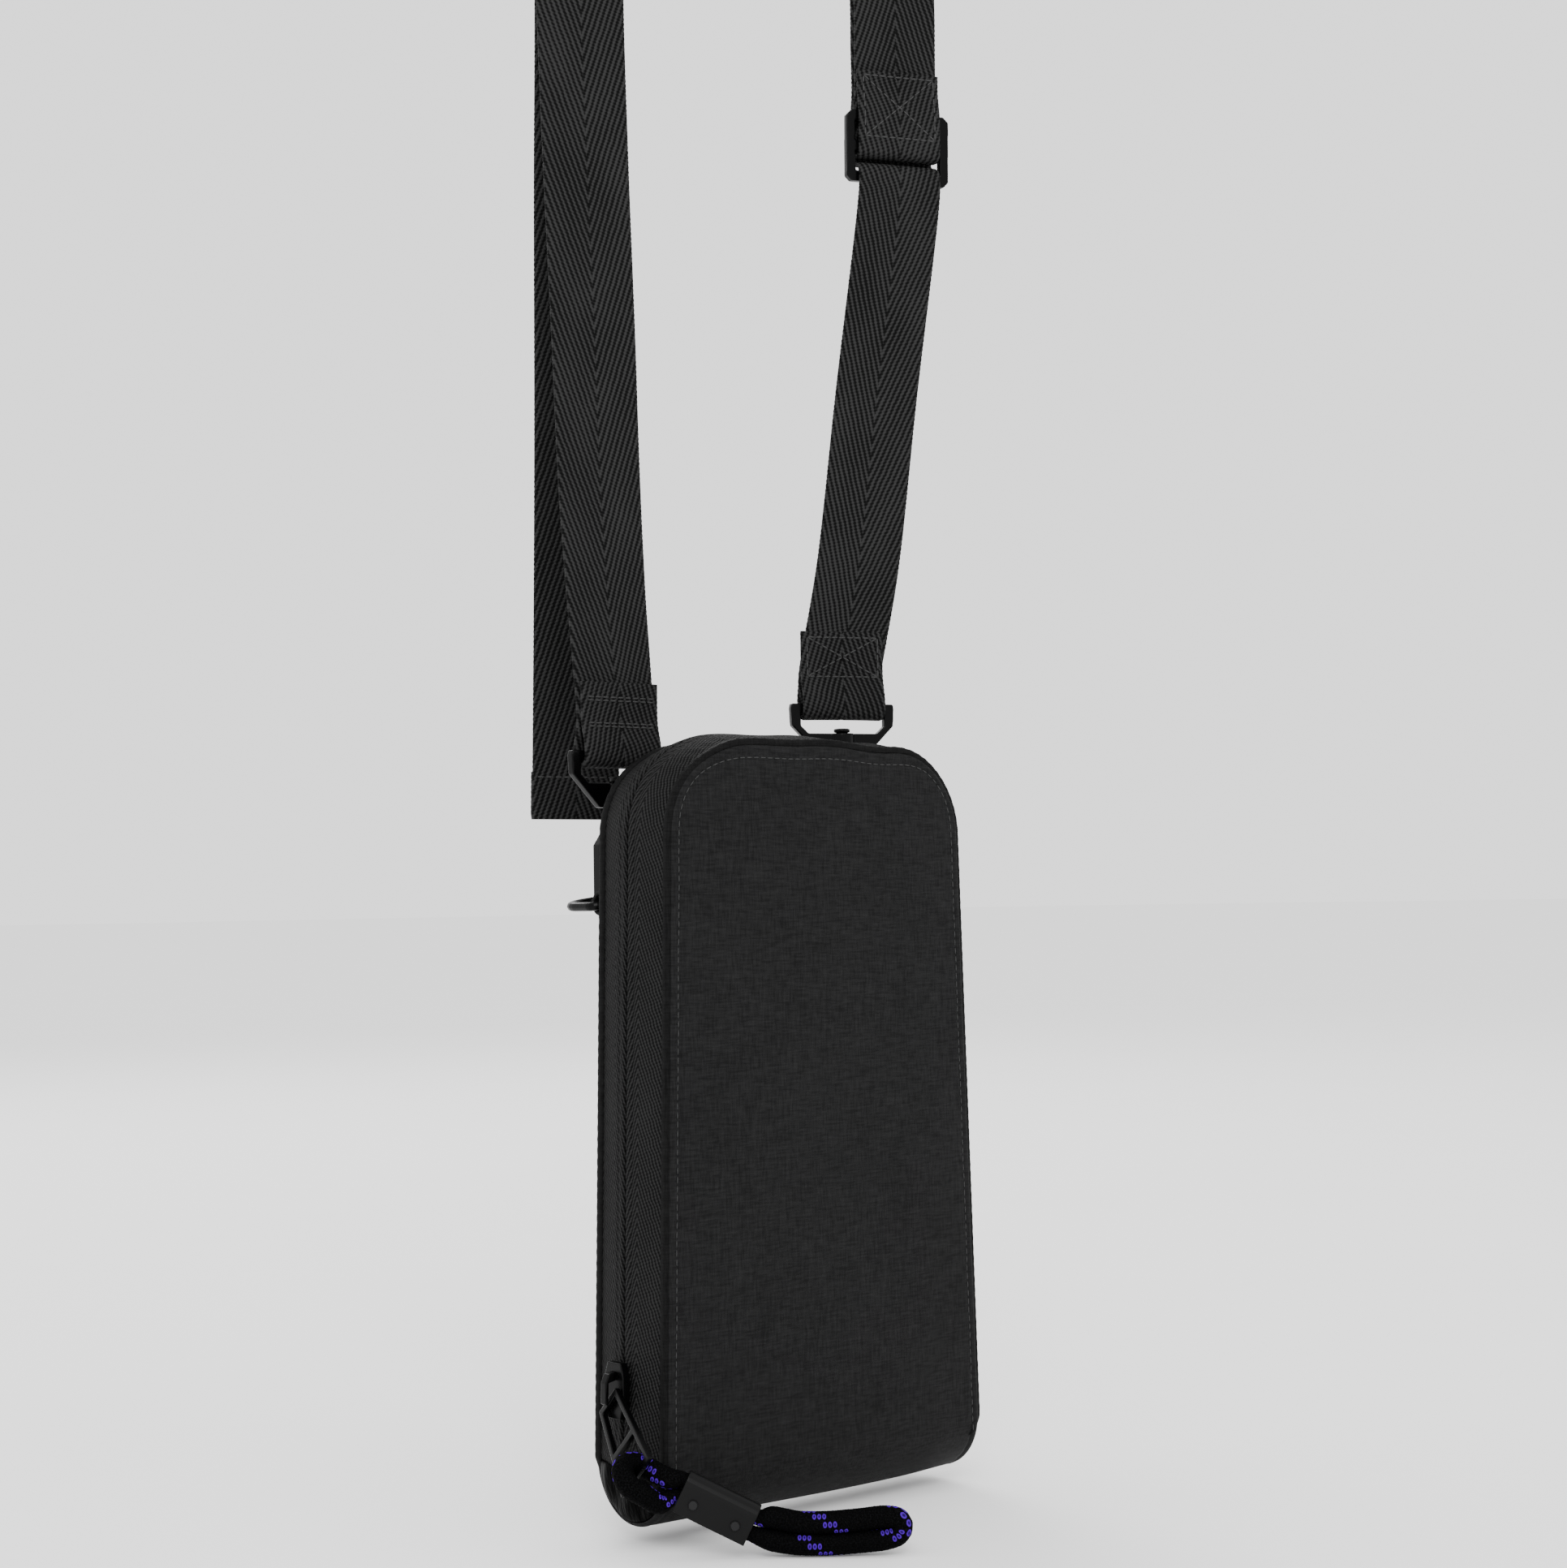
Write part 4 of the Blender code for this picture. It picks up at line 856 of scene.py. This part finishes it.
def end_cap(side, sign):
    """The coated tab that closes an end: a half disc, crowned outwards, with two soft folds."""
    share = np.linspace(0, 1, 26) ** 0.8
    angle = np.linspace(0.0, -math.pi, 49)
    y = 0.0143 * share[:, None] * np.cos(angle)[None, :]
    z = 0.0150 + 0.0140 * share[:, None] * np.sin(angle)[None, :]
    crown = 0.0022 * np.sqrt(np.clip(1 - share**2.5, 0, 1))[:, None]
    fold = 0.00045 * np.sin(y * 520 + z * 260) * np.exp(-(((share - 0.6) / 0.35) ** 2))[:, None]
    x = sign * (half_width(FOLD) - 0.0013 + crown + fold)
    grid = np.stack([np.broadcast_to(x, y.shape), y, z], -1)
    made = cloth(f"{side}_end_cap", grid, y / MM, z / MM, 0.0006, sign < 0)
    made.data.materials.append(TAB.material)
    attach(made, "pouch_and_straps")
    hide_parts(f"{side}_zip_end_tab")


trough()
end_cap("left", -1)
end_cap("right", 1)
print("ends closed")

# %% [markdown]
# ## Strap
#
# Webbing keeps its width: it bends and twists but never stretches. So it is one cross-section,
# a flat oblong with round edges, carried along a path. At each point the width direction is
# known from the pieces it threads through, and in the arch it turns by a quarter, smoothly.


# %% Strap paths
def frame_at(place_at, x_axis, z_axis):
    """A matrix from its origin, its X direction, and a Z direction made square to it."""
    x = Vector(x_axis).normalized()
    z = (Vector(z_axis) - x * Vector(z_axis).dot(x)).normalized()
    turn = Matrix((x, z.cross(x), z)).transposed().to_4x4()
    return Matrix.Translation(place_at) @ turn


def upright(place_at, turn):
    return frame_at(place_at, (math.cos(turn), math.sin(turn), 0), (math.sin(turn), -math.cos(turn), 0))


WEBBING_WIDTH, WEBBING_SHEET, SECOND_LAYER = 0.025, 0.0014, 0.0030
STRAP_TURN, ARCH_TURN = math.radians(-20), math.radians(-22.4)
STRAP_WIDE = Vector((math.cos(STRAP_TURN), math.sin(STRAP_TURN), 0))
LEFT_EYE = upright(Vector((-0.0357, FACE + 0.0110, 0.1975)), 0)
RIGHT_EYE = upright(Vector((0.0416, FACE + 0.0080, 0.2129)), STRAP_TURN)
ADJUSTER_WAY = Vector((0.0016, -0.0019, 0.0331))
ADJUSTER = frame_at(Vector((0.0535, 0.0086, 0.3744)), STRAP_WIDE, STRAP_WIDE.cross(ADJUSTER_WAY))
ARCH_TOP, ARCH_SPRING, ARCH_HALF = 0.5020, 0.4520, 0.0485
ARCH_CENTRE = Vector((0.0116, 0.0246, 0.0))
LEFT_FOLD, RIGHT_FOLD, ADJUSTER_FOLD = 19.7, 22.0, 21.8
HALF_FOLD = [(0.95, 9.5), (1.5, 6.5), (2.3, 3.2), (2.5, 0.0), (2.0, -1.75), (0.75, -2.65)]
EYE_FOLD = HALF_FOLD + [(-a, b) for a, b in HALF_FOLD[::-1]]
WRAP_FRONT = [(0.95, 17.0), (1.6, 13.5), (2.3, 10.0), (2.35, 5.0), (2.35, 0.0)]
WRAP_FRONT += [(2.15, -1.85), (0.7, -2.7)]
WRAP_BACK = [(-forward, up) for forward, up in reversed(WRAP_FRONT)]
PASS = [(2.4, -13.0), (2.4, -8.0), (1.7, -6.1), (0.0, -5.3), (-2.0, -4.9)]
PASS += [(-3.6, -4.0), (-4.2, -1.8), (-4.2, 6.0), (-4.0, 11.0), (-3.3, 16.0)]
LEFT_RISE = [(-0.0357, 0.0312, 0.2444), (-0.0346, 0.0349, 0.2716), (-0.0334, 0.0386, 0.3173)]
LEFT_RISE += [(-0.0329, 0.0417, 0.3635), (-0.0332, 0.0431, 0.4096)]
RIGHT_RISE = [(0.0449, 0.0191, 0.2532), (0.0495, 0.0149, 0.3026)]
TAIL_DROP = [(-0.0304, 0.0480, 0.4117), (-0.0290, 0.0515, 0.3600), (-0.0280, 0.0543, 0.2900)]
TAIL_DROP += [(-0.0274, 0.0569, 0.2294), (-0.0271, 0.0590, 0.1816)]


def in_frame(at, steps, end=None):
    """Points from (forward, up) steps in millimetres; end adds the cut end of a fold."""
    chosen = ([(steps[0][0], end)] if end else []) + list(steps)
    return [tuple(at @ Vector((0, up * MM, forward * MM))) for forward, up in chosen]


def arch(offset):
    """Centres and widths over the neck: a half ellipse. The width turns 90 degrees and back."""
    along = Vector((math.cos(ARCH_TURN), math.sin(ARCH_TURN), 0))
    up = Vector((0, 0, 1))
    centres, widths = [], []
    for degrees in range(180, -1, -9):
        angle = math.radians(degrees)
        rise = ARCH_TOP - ARCH_SPRING
        height = ARCH_SPRING + rise * math.sin(angle)
        spot = ARCH_CENTRE + along * ARCH_HALF * math.cos(angle) + up * height
        way = (along * ARCH_HALF * math.sin(angle) - up * rise * math.cos(angle)).normalized()
        twist = math.pi / 2 * math.sin(angle)
        width = way.cross(along.cross(up)) * math.cos(twist) + along.cross(up) * math.sin(twist)
        centres.append(tuple(spot + way.cross(width) * offset))
        widths.append(tuple(width))
    return centres, widths


def strap_frames(centres, widths):
    """The path's points, widths and face normals, each square to the others, at an even step."""
    steps = 12
    path = smooth_path(centres, steps)
    keys = np.arange(len(path)) / steps
    width_at = np.arange(len(widths))
    wide = np.stack([np.interp(keys, width_at, column) for column in np.array(widths).T], -1)
    spots, path, wide = evenly(path, 0.0007, wide)
    way = unit(np.gradient(path, axis=0))
    wide = unit(wide - (wide * way).sum(-1, keepdims=True) * way)
    return spots, path, wide, np.cross(way, wide)


def webbing(name, node, sense, spots, path, wide, normal):
    """A rounded oblong carried along, with scalloped edges; sense says which way its ribs climb."""
    share = np.concatenate([np.linspace(-1, 1, 33), [1.0, 1.0], np.linspace(1, -1, 33), [-1.0, -1.0]])
    side = np.concatenate([np.ones(33), [0.5, -0.5], -np.ones(33), [-0.5, 0.5]])
    shoulder = 1 - np.clip((np.abs(share) - 0.955) / 0.045, 0, 1) ** 2 * 0.5
    scallop = 1 + 0.0055 * np.sin(spots * TURN / 0.00145)[:, None] * (np.abs(share) > 0.9)
    half, thick = WEBBING_WIDTH / 2, WEBBING_SHEET / 2
    across = half * share * scallop
    valley = 1 - 0.16 * np.exp(-((share / 0.035) ** 2)) * (np.abs(side) > 0.9)
    up = thick * side * shoulder * valley
    cup = 0.00012 * np.sin(spots * 38.0 + 1.0)[:, None] * (share**2 - 0.4)
    rings = path[:, None] + wide[:, None] * across[..., None] + normal[:, None] * (up + cup)[..., None]
    made = tube(name, rings, half * share / MM + side * 0.01, sense * spots / MM)
    made.data.materials.append(WEBBING.material)
    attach(made, "pouch_and_straps")
    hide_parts(node)
    return made


tops, top_widths = arch(0)
under, under_widths = arch(SECOND_LAYER)
left_fold = in_frame(LEFT_EYE, EYE_FOLD, LEFT_FOLD)
wrap = in_frame(ADJUSTER, WRAP_FRONT + WRAP_BACK, ADJUSTER_FOLD)[::-1]
joined = in_frame(ADJUSTER, [(-0.95, up) for up in (52.0, 37.0, 30.0)])
turn_in = [(math.cos(STRAP_TURN * k / 5), math.sin(STRAP_TURN * k / 5), 0) for k in range(1, 6)]
back_wide = tuple(-STRAP_WIDE)
main_frames = strap_frames(
    left_fold + LEFT_RISE + tops + joined + wrap,
    [(1.0, 0.0, 0.0)] * len(left_fold) + turn_in + top_widths + [back_wide] * (len(joined) + len(wrap)),
)
right_fold = in_frame(RIGHT_EYE, EYE_FOLD, RIGHT_FOLD)
behind = in_frame(ADJUSTER, [(-0.95 - SECOND_LAYER / MM, up) for up in (30.0, 37.0, 52.0)])
risen = right_fold + RIGHT_RISE + in_frame(ADJUSTER, PASS) + behind
tail_frames = strap_frames(
    TAIL_DROP[::-1] + under + risen[::-1],
    [tuple(STRAP_WIDE)] * len(TAIL_DROP) + under_widths + [back_wide] * len(risen),
)
webbing("main_webbing", "neck_strap_main", 1, *main_frames)
webbing("tail_webbing", "neck_strap_tail", -1, *tail_frames)
print("webbing lengths:", round(float(main_frames[0][-1]), 3), round(float(tail_frames[0][-1]), 3))

# %% [markdown]
# The strap's sewn ends are closed by rows of stitches, or by a box with a cross in it. A seam
# is a list of corners on the webbing's face, in the frame of the piece it wraps.


# %% Strap stitches
def sewn(name, at, corners, profile, pitch=0.0025):
    """Stitches along straight runs between (across, up) corners in millimetres, on a face.
    The profile's (forward, up) points say how far forward the face stands at each height."""
    forward, up = np.array(sorted(profile, key=lambda pair: pair[1])).T
    spots, ways = [], []
    for (x0, z0), (x1, z1) in zip(corners, corners[1:]):
        length = math.hypot(x1 - x0, z1 - z0) * MM
        count = max(2, round(length / pitch))
        share = (np.arange(count) + 0.5) / count
        height = z0 + (z1 - z0) * share
        run = np.stack([x0 + (x1 - x0) * share, height, np.interp(height, up, forward) + 0.72], -1)
        spots.append(run * MM)
        ways.append(np.broadcast_to(unit(np.array([x1 - x0, z1 - z0, 0.0])), run.shape))
    turn = np.array(at.to_3x3())
    spots = np.concatenate(spots) @ turn.T + np.array(at.translation)
    ways = np.concatenate(ways) @ turn.T
    outs = np.broadcast_to(turn[:, 2], spots.shape)
    made = capsules(name, spots, ways, outs, pitch * 0.82, 0.00026, GREY_THREAD)
    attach(made, "pouch_and_straps")


def boxed(low, high, half=10.8):
    """A box's corners and then its cross."""
    first, second, third, fourth = (-half, low), (half, low), (half, high), (-half, high)
    return [first, second, third, fourth, first, third, second, fourth]


EYE_FACE = HALF_FOLD[:4] + [(0.95, 25.0)]
WRAP_FACE = WRAP_FRONT[:5] + [(0.95, 25.0)]
for row, up in enumerate((15.6, 14.7, 8.6, 7.7), 1):
    sewn(f"left_end_row_{row}", LEFT_EYE, [(-11.0, up), (11.0, up)], EYE_FACE)
sewn("right_end_box", RIGHT_EYE, boxed(9.0, 20.3), EYE_FACE)
sewn("adjuster_box", ADJUSTER, boxed(2.5, 20.4), WRAP_FACE)

tail_spots, tail_path, tail_wide, tail_normal = tail_frames
hem_rows = tail_spots < 0.0135
HEM_LIFT, HEM_ROUNDING = 0.00148, 0.0012
lift = HEM_LIFT * np.clip(tail_spots[hem_rows] / HEM_ROUNDING, 0.35, 1.0)[:, None]
outward = tail_normal * np.sign(tail_normal[0, 1])
hem_path = tail_path[hem_rows] + outward[hem_rows] * lift
webbing(
    "tail_hem",
    "neck_strap_tail",
    -1,
    tail_spots[hem_rows],
    hem_path,
    tail_wide[hem_rows],
    tail_normal[hem_rows],
)
hem_at = frame_at(Vector(tail_path[17]), tail_wide[17], -outward[17])
sewn("tail_hem_row", hem_at, [(-11.5, 0.0), (11.5, 0.0)], [(0.0, -1.0), (0.0, 1.0)])
print("strap ends sewn")

# %% [markdown]
# ## Pull cord
#
# The braided cord starts in the clamp, goes round the puller's end, comes back through the
# clamp and makes a flat loop in front. Its surface is a tube round that line. Two families of
# yarn cross on it: their crests are cosines of the angle plus and minus the distance along.


# %% The cord's line
CORD_DIAMETER = 0.0055
TURN_STEPS = [(7.4, 2.9, 2.7), (5.2, 0.4, 1.3), (3.0, -2.4, 0.3), (0.0, -3.7, 0.0), (-2.7, -2.7, 0.0)]
TURN_STEPS += [(-3.7, 0.0, 0.0), (-2.8, 3.0, -0.3), (0.4, 4.9, -0.8), (5.2, 7.0, -1.8)]
LOOP_WAY = Vector((0.7706, -0.6373, 0.0))
LOOP = [(4.6, -3.9), (11.0, -4.9), (18.0, -5.1), (26.0, -4.7), (32.9, -4.0), (35.9, -2.9), (36.8, -1.1)]
LOOP += [(35.9, 0.6), (32.9, 1.2), (26.0, 0.6), (18.0, 0.1), (11.0, 0.3), (4.8, 1.5)]
UP_THE_SIDE = Vector((math.sin(SLANT), 0, math.cos(SLANT)))
OUT_OF_SIDE = Vector((-math.cos(SLANT), 0, math.sin(SLANT)))
SLIDER_AT = Vector((-(half_width(0.0348) + TAPE_BULGE / math.cos(SLANT)), 0, 0.0348))
PULLER_REACH = Vector((-0.0035, -0.0156, -0.0153))
PULLER_END = SLIDER_AT + OUT_OF_SIDE * 0.00385 - UP_THE_SIDE * 0.0028 + PULLER_REACH
PULLER_WAY = PULLER_REACH.normalized()
PULLER_AXIS = OUT_OF_SIDE.cross(PULLER_WAY).normalized()
PULLER_OUT = PULLER_WAY.cross(PULLER_AXIS).normalized()
TURN_AXIS = PULLER_AXIS if PULLER_AXIS.z > 0 else -PULLER_AXIS
CLAMP_LENGTH = 0.0195
CLAMP_WAY = Vector((0.687, -0.569, -0.451)).normalized()
CLAMP_UP = (Vector((0, 0, 1)) - CLAMP_WAY * CLAMP_WAY.z).normalized()
CLAMP_START = PULLER_END + Vector((0.0095, -0.0059, -0.0038))
CLAMP_MIDDLE = CLAMP_START + CLAMP_WAY * CLAMP_LENGTH / 2
RUN_HALF = 0.00215
GRIPPED = 0.72  # share of the cord's radius inside the clamp


def in_clamp(along, run):
    """A point on the upper (1) or lower (-1) run of cord, so far along from the clamp's middle."""
    return CLAMP_MIDDLE + CLAMP_WAY * along + CLAMP_UP * (run * RUN_HALF)


def cord_keys():
    """Key points, each with its share of the full radius and the direction its twist is kept to."""
    half = CLAMP_LENGTH / 2
    mouth = half + 0.0009
    side_on = LOOP_WAY.cross(Vector((0, 0, 1)))
    keys = [(in_clamp(x, 1), GRIPPED, TURN_AXIS) for x in (-0.0003, -half / 2, -mouth)]
    for index, (a, b, c) in enumerate(TURN_STEPS):
        spot = PULLER_END + (PULLER_WAY * b + TURN_AXIS * c - PULLER_OUT * a) * MM
        keys.append((spot, 0.92 if index in (0, len(TURN_STEPS) - 1) else 1.0, TURN_AXIS))
    for x in (-mouth, -half / 2, 0, half / 2, mouth):
        keys.append((in_clamp(x, -1), GRIPPED, TURN_AXIS if x < 0 else side_on))
    base = CLAMP_START + CLAMP_WAY * CLAMP_LENGTH
    for along, up in LOOP:
        keys.append((base + LOOP_WAY * along * MM + Vector((0, 0, up * MM)), 1.0, side_on))
    keys += [(in_clamp(x, 1), GRIPPED, side_on) for x in (mouth, half / 2, 0.0003)]
    return keys


def along_line(points, kept, radius, columns):
    """Rings square to a line. Their first direction is kept near a given one at each point."""
    way = unit(np.gradient(points, axis=0))
    first = unit(kept - (kept * way).sum(-1, keepdims=True) * way)
    second = np.cross(way, first)
    angle = np.linspace(0, TURN, columns, endpoint=False)
    radius = np.broadcast_to(radius, (len(points), columns))
    cosine, sine = (f(angle)[None, :, None] for f in (np.cos, np.sin))
    spoke = first[:, None] * cosine + second[:, None] * sine
    return points[:, None] + spoke * radius[..., None], angle


keys = cord_keys()
route = smooth_path([tuple(k[0]) for k in keys], 14)
key_at = np.arange(len(route)) / 14
shares = np.interp(key_at, np.arange(len(keys)), [k[1] for k in keys])
kept_rows = np.array([tuple(k[2]) for k in keys])
kept = np.stack([np.interp(key_at, np.arange(len(keys)), column) for column in kept_rows.T], -1)
cord_spots, route, shares, kept = evenly(route, 0.0003, shares[:, None], kept)
print("cord length:", round(float(cord_spots[-1]), 4))

# %% [markdown]
# The cord's surface is a tube round that line. The radius rises where either family of yarn
# passes over, and it shrinks where the clamp grips.


# %% The cord's surface
angle = np.linspace(0, TURN, 64, endpoint=False)
crest = cord_spots[:, None] * math.pi / 0.00131
weave = np.abs(np.cos(angle * 4 + crest)) * 0.5 + np.abs(np.cos(angle * 4 - crest)) * 0.5
far = cord_spots[:, None]
fuzzy = 0.006 * np.sin(angle * 23 + far * 9000) * np.sin(angle * 7 - far * 3100)
radius = CORD_DIAMETER / 2 * shares * (0.935 + 0.100 * weave + fuzzy)
rope_rings, _ = along_line(route, kept, radius, 64)
rope = tube("braided_cord", rope_rings, angle / TURN, cord_spots / MM, 1.0)
rope.data.materials.append(BRAID.material)
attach(rope, "cord_loop")
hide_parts("pull_cord")
print("cord points:", len(rope.data.vertices))


# %% [markdown]
# ## Zip coils
#
# A nylon coil is one thread wound into a spring and sewn along the tape. Its line is a helix
# round the rim: depth follows the cosine of the turn, and distance from the edge its sine.


# %% Zip coils
COIL = lacquer("nylon_coil", (0.010, 0.010, 0.011), 0.40, 0.0)


def coil(side, sign, body):
    """A helix round the rim line, as the coil is wound: depth by cosine and inset by sine."""
    spots, line, normals = rim(0.0215, 0.00015)
    turned = spots * TURN / 0.0015
    y = 0.00095 + 0.00062 * np.cos(turned)
    inset = bulge(0.0016) + 0.0020 + 0.00058 * np.sin(turned)
    path = beside_rim(line, normals, sign * y[:, None], inset[:, None])[:, 0]
    inward = -np.sin(turned)
    kept_out = [normals[:, 0] * inward, sign * np.cos(turned), normals[:, 1] * inward]
    rings, angle = along_line(path, np.stack(kept_out, -1), 0.00026, 6)
    made = tube(f"{side}_zip_teeth", rings, angle, spots / MM)
    made.data.materials.append(COIL.material)
    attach(made, body)
    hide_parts(f"{side}_zip_coil")


for side, sign in (("front", -1), ("back", 1)):
    coil(side, sign, BODIES[side])
print("coils ready")

# %% [markdown]
# ## Hardware
#
# The slider, puller, clamp, rings, hooks and adjuster keep the frame's shapes, but real metal
# has no sharp edges. A copy of each solid is remeshed into small even cells and smoothed, which
# rounds every edge by about the same radius, as tumbling does to cast parts.


# %% Rounded copies
def rounded(node, finish, cell, passes):
    """A copy of a plain solid, remeshed into even cells and smoothed to round its edges."""
    source = frame["nodes"][node]
    made = bpy.data.objects.new(f"{node}_rounded", source.data.copy())
    bpy.context.scene.collection.objects.link(made)
    made.data.materials.clear()
    merge_close(made, 1e-6)
    made.data.materials.append(finish.material)
    made.data.shade_smooth()
    cells = made.modifiers.new("cells", "REMESH")
    cells.mode = "VOXEL"
    cells.voxel_size = cell
    cells.use_smooth_shade = True
    if passes:
        smoothing = made.modifiers.new("smoothing", "SMOOTH")
        smoothing.factor = 0.5
        smoothing.iterations = passes
    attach(made, body_of[node])
    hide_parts(node)
    return made


for node in ("slider_body", "slider_bridge", "zip_puller"):
    rounded(node, BLACK, 0.00014, 8)
for side in ("left", "right"):
    rounded(f"{side}_hook_eye", BLACK, 0.00025, 5)
    rounded(f"{side}_hook_body", BLACK, 0.00025, 6)
    rounded(f"{side}_hook_gate", BLACK, 0.00016, 4)
    rounded(f"{side}_d_ring", BLACK, 0.00020, 6)
    rounded(f"{side}_ring_tab", SHELL, 0.00020, 6)
rounded("strap_adjuster", BLACK, 0.00025, 5)
on_cord = [rounded("cord_clamp", SATIN, 0.00014, 4)]
on_cord += [rounded(f"clamp_rivet_{k}", RIVET, 0.00008, 3) for k in (1, 2)]
print("hardware rounded")


# %% [markdown]
# ## Foam boards
#
# A thin board stiffens each face, inside the cloth. It keeps its plain shape, with soft edges.


# %% Foam boards
def foam():
    """Closed-cell foam: small pits over a soft mottle."""
    finish = Finish("grey_foam", Roughness=0.95)
    x, y, z = finish.split(finish.place())
    pits = finish.noise(finish.join(x * 1800.0, y * 1800.0, z * 1800.0), 1.0, 2.0)
    finish.feed(Base_Color=finish.mix(pits, (0.035, 0.035, 0.038), (0.085, 0.085, 0.090)))
    return finish.bump(pits, 0.0002)


FOAM = foam()
for side in ("front", "back"):
    board = frame["nodes"][f"{side}_foam_board"]
    made = bpy.data.objects.new(f"{side}_foam", board.data.copy())
    bpy.context.scene.collection.objects.link(made)
    made.data.materials.clear()
    merge_close(made, 1e-6)
    made.data.materials.append(FOAM.material)
    edge = made.modifiers.new("soft_edge", "BEVEL")
    edge.width = 0.0003
    edge.segments = 2
    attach(made, BODIES[side])
    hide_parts(f"{side}_foam_board")
print("foam boards ready")

# %% [markdown]
# ## Studio
#
# The set is a white floor under a white sky, so that the picture's ground melts into its
# background and only a soft shadow remains. A large key light stands in front and to the left;
# a second, above and behind, draws thin lights along the lacquered edges.


# %% Floor and lights
def floor_finish():
    finish = Finish("white_floor", Roughness=0.9, Specular_IOR_Level=0.0)
    x, y, z = finish.split(finish.place())
    paper = finish.noise(finish.join(x * 9.0, y * 9.0, z), 1.0, 2.0)
    finish.feed(Base_Color=finish.mix(paper, (0.93, 0.93, 0.93), (0.95, 0.95, 0.95)))
    return finish


floor_z = float(rope_rings[..., 2].min() + ORIGIN[2]) - 0.0002
reach = 40.0
around = ((-1, -1), (1, -1), (1, 1), (-1, 1))
corners = [(x * reach, y * reach, floor_z) for x, y in around]
floor_mesh = bpy.data.meshes.new("floor")
floor_mesh.from_pydata(corners, [], [(0, 1, 2, 3)])
floor = bpy.data.objects.new("floor", floor_mesh)
floor.data.materials.append(floor_finish().material)
bpy.context.scene.collection.objects.link(floor)

sky = bpy.data.worlds.new("white_sky")
sky.use_nodes = True
sky.node_tree.nodes["Background"].inputs["Color"].default_value = (1.0, 1.0, 1.0, 1.0)
sky.node_tree.nodes["Background"].inputs["Strength"].default_value = 1.7
bpy.context.scene.world = sky


def lamp(name, place_at, aim, size, power):
    """A square area light at a point, turned towards an aim."""
    light = bpy.data.lights.new(name, "AREA")
    light.shape = "SQUARE"
    light.size = size
    light.energy = power
    made = bpy.data.objects.new(name, light)
    made.location = place_at
    made.rotation_euler = (Vector(aim) - Vector(place_at)).to_track_quat("-Z", "Y").to_euler()
    bpy.context.scene.collection.objects.link(made)


MIDDLE = (0.0, 0.0, -0.3)
lamp("key", (-1.1, -1.5, 0.9), MIDDLE, 1.0, 30.0)
lamp("rim_light", (0.5, 1.4, 1.0), MIDDLE, 0.9, 16.0)
print("floor at", round(floor_z, 4))

# %% [markdown]
# ## End
#
# The dressed pouch's box should agree with the frame's box within the small swell of the cloth; this
# last cell only prints a closing line.

# %% End
print("done")
